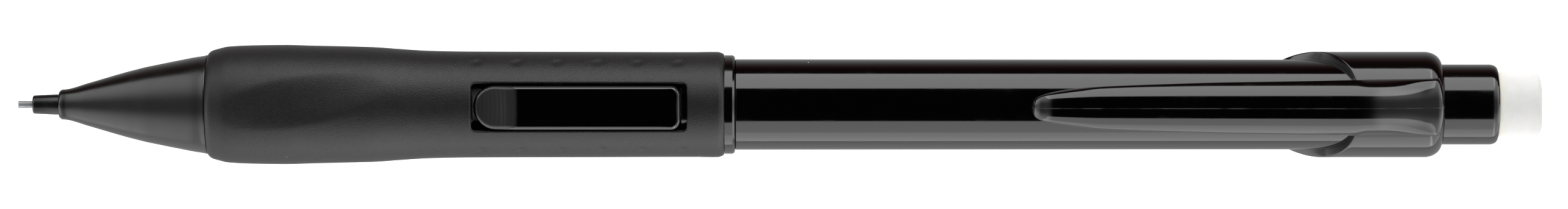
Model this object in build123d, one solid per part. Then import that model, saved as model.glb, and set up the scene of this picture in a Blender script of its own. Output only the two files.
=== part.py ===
from build123d import *
import math
import os

# A side-advance mechanical pencil for 0.7 mm lead, lying along X with its tip at -X.
#
# Every piece is drawn about the X axis, with X = 0 at the tip of the lead and Z = 0 on the
# pencil's axis, and is then moved so that X = 0 is mid-length and Z = 0 is the lowest point
# of the grip. The clip and the push button are on top, at +Z.
# Lengths are millimetres, names ending in _R are radii, and X_ names are stations.

os.makedirs("parts", exist_ok=True)

# ---------------------------------------------------------------- clearances
RUN = 0.05        # radial gap of a piece that slides or turns
SEAT = 0.02       # radial gap of pieces that are pushed together and stay
FACE_GAP = 0.05   # end gap between faces that pass each other
SHADOW_GAP = 0.10  # visible joint line at each end of the grip
EDGE = 0.10       # small broken edge

# ---------------------------------------------------------------- overall lengths
LEAD_OUT = 1.45
SLEEVE_OUT = 2.60
NOSE_LENGTH = 14.70
GRIP_LENGTH = 50.70
COLLAR_LENGTH = 1.05
BARREL_SHOWN = 54.20
CAP_LENGTH = 15.30
KNOB_LENGTH = 5.45
ERASER_OUT = 4.30

X_SLEEVE = LEAD_OUT
X_NOSE = X_SLEEVE + SLEEVE_OUT
X_GRIP = X_NOSE + NOSE_LENGTH + SHADOW_GAP
X_COLLAR = X_GRIP + GRIP_LENGTH + SHADOW_GAP
X_BARREL = X_COLLAR + COLLAR_LENGTH
X_CAP = X_BARREL + BARREL_SHOWN
X_KNOB = X_CAP + CAP_LENGTH + FACE_GAP
X_KNOB_END = X_KNOB + KNOB_LENGTH
TOTAL = X_KNOB_END + ERASER_OUT

# ---------------------------------------------------------------- outside radii
LEAD_R = 0.35
SLEEVE_TIP_R = 0.90
SLEEVE_R = 1.02
NOSE_TIP_R = 1.25
NOSE_TIP_EDGE = (0.15, 0.08)   # along, outwards
NOSE_BREAK_R = 3.40
NOSE_BREAK_AT = 7.40    # from the nose's tip to where its cone eases
NOSE_REAR_R = 4.89
GRIP_END_R = 5.05
GRIP_SWELL_R = 5.88
GRIP_SWELL_AT = 7.60    # from the grip's front end
GRIP_WAIST_R = 5.23
GRIP_WAIST_AT = 25.00
GRIP_REAR_R = 5.18
GRIP_REAR_CORNER = 0.35
GRIP_SHOULDER = (1.20, 5.54)   # distance from the front end, radius
GRIP_SLOPE = (17.80, 5.53)
FLAT_DEPTH = 0.25       # finger flats cut into the grip's swell
FLAT_COUNT = 3
FLAT_LEAN = 0.004       # slope that lets the pencil lie on a flat's broad front edge
COLLAR_R = 4.87
COLLAR_STEP = 0.08       # rear face of the collar, behind its chamfer
COLLAR_CHAMFER = 0.20
COLLAR_CHAMFER_DROP = 0.14
BARREL_R = 4.46
BARREL_TAPER = 0.04     # smaller at the cap
CAP_R = 5.20
KNOB_R = 3.95
ERASER_R = 3.21

# ---------------------------------------------------------------- barrel and grip
CORE_R = 4.20
CORE_BORE_R = 3.20
CORE_SPIGOT_R = 3.50
CORE_SPIGOT_LENGTH = 3.80
CORE_TAIL_LENGTH = 6.50
CORE_STEP = 0.50        # wide bore carried past the housing
BARREL_BORE_R = 3.80
CAP_FLOOR = 1.50        # thickness of the ring that closes the cap's rear

# ---------------------------------------------------------------- push button
BUTTON_TRAVEL = 1.30
BUTTON_LENGTH = 20.28
BUTTON_WIDTH = 4.26
BUTTON_FROM_GRIP = 26.20   # from the grip's front end to the button's front end
BUTTON_PROUD = 1.00        # crest above the grip
BUTTON_RAMP = 4.00
BUTTON_RAMP_DROP = 1.15
BUTTON_REAR_CORNER = 0.90
BUTTON_EDGE = 0.40
WINDOW_SIDE = 0.22         # grip window, past the button on each side
WINDOW_FRONT = 0.20
WINDOW_REAR = 0.63
RAIL = 0.45                # the button's side rails, which straddle the slide
RAIL_GAP = 0.20            # from a rail to the cam teeth at full press
BUTTON_BODY_DROP = 0.10    # body reaches this far into the front barrel's bore
BUTTON_WALL = 1.00
BUTTON_SKIN = 1.50
LUG_FRONT = 2.90           # first lug, behind the button's front end
LUG_REAR = 1.20            # last lug, ahead of its rear end
LUG_OUT = 0.57
LUG_LENGTH = 2.00
LUG_HEIGHT = 0.65
LUG_TOP_Z = 1.65
TOOTH_Z = 0.90             # half height of a cam tooth on the slide
TOOTH_DIP_Z = 0.30         # lowest point of a button tooth
TOOTH_LENGTH = 2.60
TOOTH_STATIONS = (6.90, 12.40)   # from the button's front end

# ---------------------------------------------------------------- lead feed
LEAD_LENGTH = 52.00        # the lead in use, partly used up
SPARE_LENGTH = 60.00         # shortened where the eraser leaves less room
SPARE_GAP = 2.00             # from the lead in use to the spare ones
SPARE_COUNT = 3
SLEEVE_TRAVEL = 2.30
SLEEVE_NECK = 2.20         # nose bore that guides the sliding sleeve
SLEEVE_FLANGE_R = 1.30
SLEEVE_FLANGE = 0.80
RETAINER_R = 1.90
RETAINER_LENGTH = 1.50
RETAINER_GAP = 0.45          # from the pushed-in sleeve to the retainer
CHUCK_GAP = 0.20             # from the retainer to the chuck at full press
CHUCK_HEAD_R = 1.72
CHUCK_HEAD_REAR_R = 1.40
CHUCK_HEAD_FLAT = 0.80
CHUCK_TAPER = 1.40
CHUCK_NECK_R = 1.05
CHUCK_NECK_LENGTH = 9.20
NECK_ROOM = 0.15
CHUCK_SHANK_R = 1.30
CHUCK_SHANK_LENGTH = 4.00
CHUCK_SLIT = 0.20
CHUCK_SLIT_LENGTH = 7.80
CHUCK_JAWS = 3
CHUCK_RELIEF = 0.25        # bore behind the jaws, clear of the lead
RING_R = 2.00
RING_TRAVEL = 0.60         # the lead fed by one press
HOUSING_R = 2.50
HOUSING_FLANGE_R = 3.10
HOUSING_FLANGE = 0.80
HOUSING_TAIL = 4.00
HOUSING_TAIL_STEP = 0.10   # tail wider than the housing, held by the front barrel
SLIDE_R = 1.60
SLIDE_BORE_R = 1.20
GUIDE_DISC = 1.00
SPRING_LENGTH = 12.00
SPRING_R = 2.00
SPRING_WIRE_R = 0.20
SPRING_TURNS = 8
TUBE_SOCKET = 3.00
TUBE_COLLAR = 4.00
TUBE_TAIL = 2.00           # tube left behind the spare leads
TUBE_GAP = 1.50            # from the button to the tube
TUBE_MOUTH = (0.50, 0.25)  # chamfer at its open end: along, outwards
TUBE_CLEAR = 1.00          # from the tube to the eraser carrier when it is fully in

# ---------------------------------------------------------------- twist-up eraser
TWIST_PITCH = 5.00
TWIST_IN = 3.50
TWIST_OUT = 5.50
ERASER_LENGTH = 13.00
ERASER_CORNER = 0.60
KNOB_CORNER = 0.80
KNOB_CORNER_STEPS = 8
HOUSE_R = 3.60             # knob's inner tube around the eraser
HOUSE_LENGTH = 8.30
HOUSE_WALL = 0.30
SLOT_TUBE_R = 2.80
SLOT_TUBE_BORE_R = 2.20
GUIDE_R = 3.70
GUIDE_LENGTH = 11.70
GROOVE = 1.10
GROOVE_START = 1.30        # from the guide's front to the lug when it is fully in
CARRIER_NOSE = 1.00        # carrier ahead of the lug's middle
GROOVE_R = 3.30
GROOVE_OVERCUT = 0.30      # cutter's reach into the guide's bore
LUG_PIN_R = 0.48
HOLDER_LENGTH = 4.00
HOLDER_GAP = 0.50
HOLDER_WALL = 0.30
RETAINING_RING = 0.90
RETAINING_RING_R = 3.40
FRICTION_RING = 1.00
FRICTION_RING_BACK = 1.00  # from the ring to the guide's rear end
FRICTION_RING_GROOVE = 0.50

# ---------------------------------------------------------------- clip and scoop
CLIP_TIP_AHEAD = 25.20     # clip tip ahead of the cap's front lip
CLIP_TOP_Z = 7.05
CLIP_THICKNESS = 1.35
CLIP_CROWN_R = 3.40
CLIP_TIP_WIDTH = 3.80
CLIP_ROOT_WIDTH = 5.80
CLIP_BUMP_GAP = 0.12
CLIP_ROOT_BACK = 6.60      # the clip's root starts this far behind the cap's front
CUT_AT = 3.00              # the cap's slanting front edge, at the axis's height
CUT_SLOPE = 0.90
CLIP_RISE = 0.15           # from the clip's middle to its root
CLIP_TIP_LIFT = 0.20
CLIP_TIP_SLOPE = (1.60, 0.35)   # behind the tip, below the crest
CLIP_FLAT_AT = 5.00        # crest reached this far behind the tip
CLIP_SPOON_LENGTH = 4.50
CLIP_CREST_AT = 1.00       # highest point, behind the root's start
CLIP_BEND = (1.20, 1.00)   # ahead of the cap's rear, above the cap
CLIP_REAR_SINK = 0.90
CLIP_ROOT_SINK = 0.40
CLIP_BUMP_END = 6.20
CLIP_BUMP = ((4.60, 0.15), (3.40, 0.0), (2.20, 0.20))   # behind the tip, above the bump
CAP_REAR_ROUND = 1.60
CAP_REAR_DROP = 1.10

# ---------------------------------------------------------------- stations that follow
X_BUTTON = X_GRIP + BUTTON_FROM_GRIP
X_BUTTON_END = X_BUTTON + BUTTON_LENGTH
BUTTON_TOP_Z = GRIP_WAIST_R + BUTTON_PROUD
GRIP_BORE_R = CORE_R + SEAT
X_NECK_END = X_NOSE + SLEEVE_NECK
X_RETAINER = X_NECK_END + SLEEVE_FLANGE + SLEEVE_TRAVEL + RETAINER_GAP
X_CHUCK = X_RETAINER + RETAINER_LENGTH + BUTTON_TRAVEL + CHUCK_GAP
X_RING = X_CHUCK + CHUCK_HEAD_FLAT
X_RING_END = X_RING + CHUCK_TAPER
X_RING_STOP = X_RING - RING_TRAVEL - FACE_GAP
X_CORE = X_NOSE + NOSE_LENGTH - CORE_SPIGOT_LENGTH
X_HOUSING_FLANGE = X_CORE - HOUSING_FLANGE
X_HOUSING_END = X_CORE + HOUSING_TAIL
X_SHANK = X_CHUCK + CHUCK_HEAD_FLAT + CHUCK_TAPER + CHUCK_NECK_LENGTH
X_SLIDE = X_SHANK
X_DISC = X_HOUSING_END + SPRING_LENGTH
X_TUBE = X_BUTTON_END + TUBE_GAP
X_SPARE = LEAD_LENGTH + SPARE_GAP
X_CAP_FLOOR = X_KNOB - FACE_GAP - CAP_FLOOR
X_HOUSE = X_KNOB - HOUSE_LENGTH
X_GUIDE_END = X_HOUSE - FACE_GAP
X_GUIDE = X_GUIDE_END - GUIDE_LENGTH
X_SLOT_TUBE = X_GUIDE - FACE_GAP - RETAINING_RING
X_LUG = X_GUIDE + GROOVE_START + TWIST_IN
X_CARRIER = X_LUG - CARRIER_NOSE
X_HOLDER = X_HOUSE + TWIST_IN + HOLDER_GAP
X_ERASER = TOTAL - ERASER_LENGTH
X_TUBE_END = min(X_SPARE + SPARE_LENGTH + TUBE_TAIL, X_CARRIER - TWIST_IN - TUBE_CLEAR)
X_SPARE_END = X_TUBE_END - TUBE_TAIL
BARREL_REAR_R = BARREL_R - BARREL_TAPER
HOUSE_BORE_R = ERASER_R + RUN + SEAT


# ---------------------------------------------------------------- helpers
def turned(*points):
    """A solid turned about the X axis from an outline of (station, radius) points."""
    return revolve(make_face(Polyline(*points, close=True)), axis=Axis.X)


def tube(x0, x1, outer, inner):
    """A straight ring or tube from station x0 to x1."""
    return turned((x0, inner), (x1, inner), (x1, outer), (x0, outer))


def rod(x0, x1, radius):
    """A straight round rod from station x0 to x1."""
    return turned((x0, 0), (x1, 0), (x1, radius), (x0, radius))


def block(x0, x1, y0, y1, z0, z1):
    """A box between two opposite corners."""
    middle = Pos((x0 + x1) / 2, (y0 + y1) / 2, (z0 + z1) / 2)
    return middle * Box(x1 - x0, y1 - y0, z1 - z0)


def side_plate(outline, y0, y1):
    """An outline of (station, height) points, as thick as the space from y0 to y1."""
    face = Plane.XZ * make_face(Polyline(*outline, close=True))
    return Pos(0, y1, 0) * extrude(face, y1 - y0, dir=(0, -1, 0))


def about_axis(shape, angle):
    """The shape turned about the pencil's axis by an angle in degrees."""
    return Rot(angle, 0, 0) * shape


def helix_about_x(x0, length, pitch, radius):
    """A right-handed helix about the X axis, which starts at +Z."""
    return Pos(x0, 0, 0) * Rot(0, 90, 0) * Rot(0, 0, 180) * Helix(pitch, length, radius)


def lowest_z(shape):
    """The height of a shape's lowest point, from its distance to a slab below it."""
    slab_top = -4 * GRIP_SWELL_R
    slab = block(0, TOTAL, -GRIP_SWELL_R, GRIP_SWELL_R, slab_top - 1, slab_top)
    return slab_top + shape.distance_to(slab)


def save(name, shape, floor_z):
    """Put a piece in the part's own frame, above the desk at floor_z, and write it."""
    placed = Pos(-TOTAL / 2, 0, -floor_z) * shape
    export_step(placed, f"parts/{name}.step")


# ---------------------------------------------------------------- point and nose
def make_lead():
    return rod(0, LEAD_LENGTH, LEAD_R)


def make_lead_sleeve():
    flange_end = X_NECK_END + SLEEVE_FLANGE
    outline = [
        (X_SLEEVE, LEAD_R + SEAT),
        (flange_end, LEAD_R + SEAT),
        (flange_end, SLEEVE_FLANGE_R),
        (X_NECK_END, SLEEVE_FLANGE_R),
        (X_NECK_END, SLEEVE_R),
        (X_NOSE, SLEEVE_R),
        (X_SLEEVE + 1.5 * EDGE, SLEEVE_TIP_R),
        (X_SLEEVE, SLEEVE_TIP_R - 1.5 * EDGE),
    ]
    return turned(*outline)


def make_lead_retainer():
    return tube(X_RETAINER, X_RETAINER + RETAINER_LENGTH, RETAINER_R, LEAD_R + SEAT)


def make_nose_cone():
    x_end = X_NOSE + NOSE_LENGTH
    seat_r = RETAINER_R + SEAT
    housing_r = HOUSING_R + SEAT
    flange_r = HOUSING_FLANGE_R + SEAT
    spigot_r = CORE_SPIGOT_R + SEAT
    outline = [
        (X_NOSE, SLEEVE_R + RUN),
        (X_NECK_END, SLEEVE_R + RUN),
        (X_NECK_END, SLEEVE_FLANGE_R + RUN),
        (X_RETAINER, SLEEVE_FLANGE_R + RUN),
        (X_RETAINER, seat_r),
        (X_RING_STOP, seat_r),
        (X_RING_STOP, housing_r),
        (X_HOUSING_FLANGE, housing_r),
        (X_HOUSING_FLANGE, flange_r),
        (X_CORE, flange_r),
        (X_CORE, spigot_r),
        (x_end, spigot_r),
        (x_end, NOSE_REAR_R - EDGE),
        (x_end - EDGE, NOSE_REAR_R),
        (X_NOSE + NOSE_BREAK_AT, NOSE_BREAK_R),
        (X_NOSE + NOSE_TIP_EDGE[0], NOSE_TIP_R + NOSE_TIP_EDGE[1]),
        (X_NOSE, NOSE_TIP_R),
    ]
    return turned(*outline)


# ---------------------------------------------------------------- barrel, grip and cap
def make_front_barrel():
    x_shoulder = X_NOSE + NOSE_LENGTH
    x_tail = X_BARREL + CORE_TAIL_LENGTH
    front_bore_r = HOUSING_R + HOUSING_TAIL_STEP + SEAT
    outline = [
        (X_CORE, front_bore_r),
        (X_HOUSING_END + CORE_STEP, front_bore_r),
        (X_HOUSING_END + CORE_STEP, CORE_BORE_R),
        (x_tail, CORE_BORE_R),
        (x_tail, BARREL_BORE_R - SEAT),
        (X_BARREL, BARREL_BORE_R - SEAT),
        (X_BARREL, BARREL_R - EDGE / 2),
        (X_BARREL - COLLAR_STEP, COLLAR_R - COLLAR_CHAMFER_DROP),
        (X_BARREL - COLLAR_STEP - COLLAR_CHAMFER, COLLAR_R),
        (X_COLLAR, COLLAR_R),
        (X_COLLAR, CORE_R),
        (x_shoulder, CORE_R),
        (x_shoulder, CORE_SPIGOT_R),
        (X_CORE, CORE_SPIGOT_R),
    ]
    half = BUTTON_WIDTH / 2 + 2 * RUN
    window = block(X_BUTTON - 2 * RUN, X_BUTTON_END + 2 * RUN, -half, half, 0, CORE_R + 1)
    return turned(*outline) - window


def grip_outline():
    """The grip's outer line: a swell for the fingers that eases to a straight rear."""
    swell = (X_GRIP + GRIP_SWELL_AT, GRIP_SWELL_R)
    waist = (X_GRIP + GRIP_WAIST_AT, GRIP_WAIST_R)
    front = (X_GRIP, GRIP_END_R)
    rear = (X_GRIP + GRIP_LENGTH - GRIP_REAR_CORNER, GRIP_REAR_R)
    rear_low = (X_GRIP + GRIP_LENGTH, GRIP_REAR_R - GRIP_REAR_CORNER)
    return [
        Spline(front, (X_GRIP + GRIP_SHOULDER[0], GRIP_SHOULDER[1]), swell, tangents=[(0.4, 1), (1, 0)]),
        Spline(swell, (X_GRIP + GRIP_SLOPE[0], GRIP_SLOPE[1]), waist, tangents=[(1, 0), (1, -0.01)]),
        Line(waist, rear),
        Line(rear, rear_low),
        Line(rear_low, (X_GRIP + GRIP_LENGTH, GRIP_BORE_R)),
        Line((X_GRIP + GRIP_LENGTH, GRIP_BORE_R), (X_GRIP, GRIP_BORE_R)),
        Line((X_GRIP, GRIP_BORE_R), front),
    ]


def make_grip_sleeve():
    body = revolve(make_face(Curve() + grip_outline()), axis=Axis.X)
    half = BUTTON_WIDTH / 2 + WINDOW_SIDE
    x_front = X_BUTTON - WINDOW_FRONT
    x_rear = X_BUTTON_END + WINDOW_REAR
    body -= block(x_front, x_rear, -half, half, 0, GRIP_SWELL_R + 1)
    for i in range(FLAT_COUNT):
        body -= about_axis(finger_flat(), i * 360 / FLAT_COUNT)
    return body


def finger_flat():
    """The cut of one finger flat, a little steeper than the plane that also touches the cap.

    On a desk the pencil lies on the lowest flat and on the cap, with the clip up.
    """
    x_swell = X_GRIP + GRIP_SWELL_AT
    x_cap = X_CAP + CAP_LENGTH - CAP_REAR_ROUND
    x_end = X_GRIP + GRIP_WAIST_AT
    flat_z = FLAT_DEPTH - GRIP_SWELL_R
    slope = (-CAP_R - flat_z) / (x_cap - x_swell) + FLAT_LEAN
    outline = [
        (X_GRIP - 1, flat_z + slope * (X_GRIP - 1 - x_swell)),
        (x_end, flat_z + slope * (x_end - x_swell)),
        (x_end, -GRIP_SWELL_R - 1),
        (X_GRIP - 1, -GRIP_SWELL_R - 1),
    ]
    return side_plate(outline, -GRIP_SWELL_R, GRIP_SWELL_R)


def make_rear_barrel():
    outline = [
        (X_BARREL, BARREL_BORE_R),
        (X_CAP_FLOOR, BARREL_BORE_R),
        (X_CAP_FLOOR, BARREL_REAR_R),
        (X_CAP, BARREL_REAR_R),
        (X_BARREL + EDGE, BARREL_R),
        (X_BARREL, BARREL_R - EDGE),
    ]
    return turned(*outline)


def cap_shell():
    """The cap's tube, rounded at the rear and cut on a slant at the front."""
    x_end = X_CAP + CAP_LENGTH
    bore_r = BARREL_REAR_R + SEAT
    hole_r = GUIDE_R + RUN
    turn_in = CAP_REAR_ROUND * (1 - math.sqrt(0.5))
    rear_r = CAP_R - CAP_REAR_DROP
    x_front = X_CAP + CUT_AT - CUT_SLOPE * (CAP_R + 1)
    outer = [
        Line((x_front, CAP_R), (x_end - CAP_REAR_ROUND, CAP_R)),
        ThreePointArc(
            (x_end - CAP_REAR_ROUND, CAP_R), (x_end - turn_in, CAP_R - turn_in), (x_end, rear_r)
        ),
    ]
    inner = Polyline(
        (x_end, rear_r),
        (x_end, hole_r),
        (X_CAP_FLOOR, hole_r),
        (X_CAP_FLOOR, bore_r),
        (x_front, bore_r),
        (x_front, CAP_R),
    )
    shell = revolve(make_face(Curve() + outer + inner), axis=Axis.X)
    reach = CAP_R + 1
    x_low = X_CAP + CUT_AT - CUT_SLOPE * reach
    x_high = X_CAP + CUT_AT + CUT_SLOPE * reach
    cut = side_plate([(x_low - 1, -reach), (x_low, -reach), (x_high, reach), (x_low - 1, reach)],
                     -reach, reach)
    return shell - cut


def clip_side():
    """The clip's side view: a long flat arm, a bump near the tip and a root on the cap."""
    x_tip = X_CAP - CLIP_TIP_AHEAD
    x_root = X_CAP + CLIP_ROOT_BACK
    x_end = X_CAP + CAP_LENGTH
    under = CLIP_TOP_Z - CLIP_THICKNESS
    bump = BARREL_R + CLIP_BUMP_GAP
    tip = (x_tip, under + CLIP_TIP_LIFT)
    rear = (x_end - EDGE, CAP_R - CLIP_REAR_SINK)
    top = Spline(
        tip,
        (x_tip + CLIP_TIP_SLOPE[0], CLIP_TOP_Z - CLIP_TIP_SLOPE[1]),
        (x_tip + CLIP_FLAT_AT, CLIP_TOP_Z),
        (x_root + CLIP_CREST_AT, CLIP_TOP_Z + CLIP_RISE),
        (x_end - CLIP_BEND[0], CAP_R + CLIP_BEND[1]),
        rear,
    )
    bottom = Polyline(
        rear,
        (x_root, CAP_R - CLIP_ROOT_SINK),
        (x_root, under),
        (x_tip + CLIP_BUMP_END, under),
        *((x_tip + along, bump + up) for along, up in CLIP_BUMP),
        tip,
    )
    face = Plane.XZ * make_face(Curve() + top + bottom)
    return Pos(0, CLIP_ROOT_WIDTH, 0) * extrude(face, 2 * CLIP_ROOT_WIDTH, dir=(0, -1, 0))


def clip_plan():
    """The clip's plan view: a spoon-shaped tip that widens gently to the root."""
    x_tip = X_CAP - CLIP_TIP_AHEAD
    x_end = X_CAP + CAP_LENGTH
    half_tip = CLIP_TIP_WIDTH / 2
    half_root = CLIP_ROOT_WIDTH / 2
    x_full = x_tip + CLIP_SPOON_LENGTH
    lines = [
        ThreePointArc((x_full, half_tip), (x_tip, 0), (x_full, -half_tip)),
        Line((x_full, -half_tip), (x_end, -half_root)),
        Line((x_end, -half_root), (x_end, half_root)),
        Line((x_end, half_root), (x_full, half_tip)),
    ]
    return extrude(make_face(Curve() + lines), CLIP_TOP_Z + 2)


def make_clip_cap():
    x_tip = X_CAP - CLIP_TIP_AHEAD
    x_end = X_CAP + CAP_LENGTH
    crown_z = CLIP_TOP_Z + CLIP_RISE - CLIP_CROWN_R
    crown = Pos(0, 0, crown_z) * rod(x_tip - 1, x_end, CLIP_CROWN_R)
    arm = clip_side() & clip_plan() & crown
    arm = arm - rod(X_CAP - 1, X_CAP_FLOOR, BARREL_R)
    return cap_shell() + arm


# ---------------------------------------------------------------- push button
def make_side_button():
    half = BUTTON_WIDTH / 2
    body_z = CORE_BORE_R - BUTTON_BODY_DROP
    profile = [
        (X_BUTTON, body_z),
        (X_BUTTON_END, body_z),
        (X_BUTTON_END, BUTTON_TOP_Z),
        (X_BUTTON + BUTTON_RAMP, BUTTON_TOP_Z),
        (X_BUTTON, BUTTON_TOP_Z - BUTTON_RAMP_DROP),
    ]
    body = side_plate(profile, -half, half)
    plan = Pos((X_BUTTON + X_BUTTON_END) / 2, 0, 0) * Rectangle(BUTTON_LENGTH, BUTTON_WIDTH)
    front_corners = plan.vertices().sort_by(Axis.X)[:2]
    plan = fillet(front_corners, half - 0.1 * EDGE)
    rear_corners = plan.vertices().sort_by(Axis.X)[-2:]
    plan = fillet(rear_corners, BUTTON_REAR_CORNER)
    body = body & extrude(plan, BUTTON_TOP_Z + 1)
    body = body - block(
        X_BUTTON + half, X_BUTTON_END - BUTTON_WALL, RAIL - half, half - RAIL,
        0, BUTTON_TOP_Z - BUTTON_SKIN
    )
    for side in (-1, 1):
        y_in = side * (half - RAIL)
        y_out = side * half
        y0, y1 = min(y_in, y_out), max(y_in, y_out)
        rail_z = TOOTH_Z + BUTTON_TRAVEL + RAIL_GAP
        x_rail = X_BUTTON + half + 2 * EDGE
        body += block(x_rail, X_BUTTON_END - BUTTON_WALL, y0, y1, rail_z, body_z + EDGE)
        for station in TOOTH_STATIONS:
            body += button_tooth(X_BUTTON + station, y0, y1, rail_z)
        for x_lug in (X_BUTTON + LUG_FRONT, X_BUTTON_END - LUG_REAR - LUG_LENGTH):
            y_lug = side * (half + LUG_OUT)
            z_low = LUG_TOP_Z - LUG_HEIGHT
            body += block(x_lug, x_lug + LUG_LENGTH, y0, y1, z_low, rail_z + EDGE)
            y2, y3 = min(y_in, y_lug), max(y_in, y_lug)
            body += block(x_lug, x_lug + LUG_LENGTH, y2, y3, z_low, LUG_TOP_Z)
    return body


def button_tooth(x, y0, y1, z_top):
    """A tooth with a 45 degree front, which pushes a cam tooth forwards."""
    line = x + TOOTH_Z + FACE_GAP * math.sqrt(2)
    outline = [
        (line - z_top, z_top + EDGE),
        (line - z_top, z_top),
        (line - TOOTH_DIP_Z, TOOTH_DIP_Z),
        (x + TOOTH_LENGTH, TOOTH_DIP_Z),
        (x + TOOTH_LENGTH, z_top + EDGE),
    ]
    return side_plate(outline, y0, y1)


# ---------------------------------------------------------------- lead feed
def make_slide_cam():
    x_end = X_TUBE + TUBE_SOCKET
    disc_r = CORE_BORE_R - 2 * RUN
    outline = [
        (X_SLIDE, CHUCK_SHANK_R + SEAT),
        (X_SLIDE + CHUCK_SHANK_LENGTH, CHUCK_SHANK_R + SEAT),
        (X_SLIDE + CHUCK_SHANK_LENGTH, SLIDE_BORE_R),
        (x_end, SLIDE_BORE_R),
        (x_end, SLIDE_R),
        (X_DISC + GUIDE_DISC, SLIDE_R),
        (X_DISC + GUIDE_DISC, disc_r),
        (X_DISC, disc_r),
        (X_DISC, SLIDE_R),
        (X_SLIDE, SLIDE_R),
    ]
    slide = turned(*outline)
    y_in = SLIDE_BORE_R + RUN
    y_out = BUTTON_WIDTH / 2
    for station in TOOTH_STATIONS:
        x = X_BUTTON + station
        outline = [(x, -TOOTH_Z), (x + 2 * TOOTH_Z, -TOOTH_Z), (x, TOOTH_Z)]
        for side in (-1, 1):
            y0, y1 = sorted((side * y_in, side * y_out))
            slide += side_plate(outline, y0, y1)
    return slide


def make_lead_tube():
    disc_r = CORE_BORE_R - 2 * RUN
    x_socket = X_TUBE + TUBE_SOCKET
    outline = [
        (X_TUBE, SLIDE_R + SEAT),
        (x_socket, SLIDE_R + SEAT),
        (x_socket, SLIDE_BORE_R),
        (X_TUBE_END - TUBE_MOUTH[0], SLIDE_BORE_R),
        (X_TUBE_END, SLIDE_BORE_R + TUBE_MOUTH[1]),
        (X_TUBE_END, SLIDE_R),
        (X_TUBE + TUBE_COLLAR, SLIDE_R),
        (X_TUBE + TUBE_COLLAR, disc_r),
        (X_TUBE, disc_r),
    ]
    return turned(*outline)


def make_spare_leads():
    offset = SLIDE_BORE_R - LEAD_R - SEAT
    leads = []
    for i in range(SPARE_COUNT):
        lead = Pos(0, 0, -offset) * rod(X_SPARE, X_SPARE_END, LEAD_R)
        leads.append(about_axis(lead, 60 * (i - 1)))
    return Compound(children=leads)


def make_chuck():
    x_taper = X_CHUCK + CHUCK_HEAD_FLAT
    x_neck = x_taper + CHUCK_TAPER
    x_end = X_SHANK + CHUCK_SHANK_LENGTH
    outline = [
        (X_CHUCK, LEAD_R + SEAT),
        (x_neck, LEAD_R + SEAT),
        (x_neck, LEAD_R + CHUCK_RELIEF),
        (x_end, LEAD_R + CHUCK_RELIEF),
        (x_end, CHUCK_SHANK_R),
        (X_SHANK, CHUCK_SHANK_R),
        (X_SHANK, CHUCK_NECK_R),
        (x_neck, CHUCK_NECK_R),
        (x_neck, CHUCK_HEAD_REAR_R),
        (x_taper, CHUCK_HEAD_R),
        (X_CHUCK, CHUCK_HEAD_R),
    ]
    chuck = turned(*outline)
    for i in range(CHUCK_JAWS):
        slit = block(
            X_CHUCK - 1, X_CHUCK + CHUCK_SLIT_LENGTH, -CHUCK_SLIT / 2, CHUCK_SLIT / 2, 0, 3
        )
        chuck -= about_axis(slit, i * 360 / CHUCK_JAWS)
    return chuck


def make_clutch_ring():
    return turned(
        (X_RING, CHUCK_HEAD_R + SEAT),
        (X_RING_END - FACE_GAP, CHUCK_HEAD_REAR_R + SEAT),
        (X_RING_END - FACE_GAP, RING_R),
        (X_RING, RING_R),
    )


def make_chuck_housing():
    tail_r = HOUSING_R + HOUSING_TAIL_STEP
    return turned(
        (X_RING_STOP, RING_R + RUN),
        (X_RING_END, RING_R + RUN),
        (X_RING_END, CHUCK_NECK_R + NECK_ROOM),
        (X_HOUSING_END, CHUCK_NECK_R + NECK_ROOM),
        (X_HOUSING_END, tail_r),
        (X_CORE, tail_r),
        (X_CORE, HOUSING_FLANGE_R),
        (X_HOUSING_FLANGE, HOUSING_FLANGE_R),
        (X_HOUSING_FLANGE, HOUSING_R),
        (X_RING_STOP, HOUSING_R),
    )


def make_return_spring():
    height = SPRING_LENGTH - 2 * SPRING_WIRE_R
    path = helix_about_x(X_HOUSING_END + SPRING_WIRE_R, height, height / SPRING_TURNS, SPRING_R)
    section = Plane(origin=path @ 0, z_dir=path % 0) * Circle(SPRING_WIRE_R)
    return sweep(section, path=path, is_frenet=True)


# ---------------------------------------------------------------- twist-up eraser
def make_twist_knob():
    corner = []
    for i in range(KNOB_CORNER_STEPS + 1):
        a = math.pi / 2 * i / KNOB_CORNER_STEPS
        along, down = KNOB_CORNER * (1 - math.cos(a)), KNOB_CORNER / 2 * (1 - math.sin(a))
        corner.append((X_KNOB_END - along, KNOB_R - down))
    outline = [
        (X_SLOT_TUBE, SLOT_TUBE_BORE_R),
        (X_HOUSE + HOUSE_WALL, SLOT_TUBE_BORE_R),
        (X_HOUSE + HOUSE_WALL, HOUSE_BORE_R),
        (X_KNOB_END, HOUSE_BORE_R),
        *corner,
        (X_KNOB, KNOB_R),
        (X_KNOB, HOUSE_R),
        (X_HOUSE, HOUSE_R),
        (X_HOUSE, SLOT_TUBE_R),
        (X_SLOT_TUBE, SLOT_TUBE_R),
    ]
    knob = turned(*outline)
    half = LUG_PIN_R + RUN
    x_front = X_LUG - TWIST_IN - half
    x_rear = X_LUG + TWIST_OUT + half
    reach = SLOT_TUBE_R + RUN
    return knob - block(x_front, x_rear, -half, half, -reach, reach)


def make_knob_retainer():
    return tube(X_SLOT_TUBE, X_SLOT_TUBE + RETAINING_RING, RETAINING_RING_R, SLOT_TUBE_R + SEAT)


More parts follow.
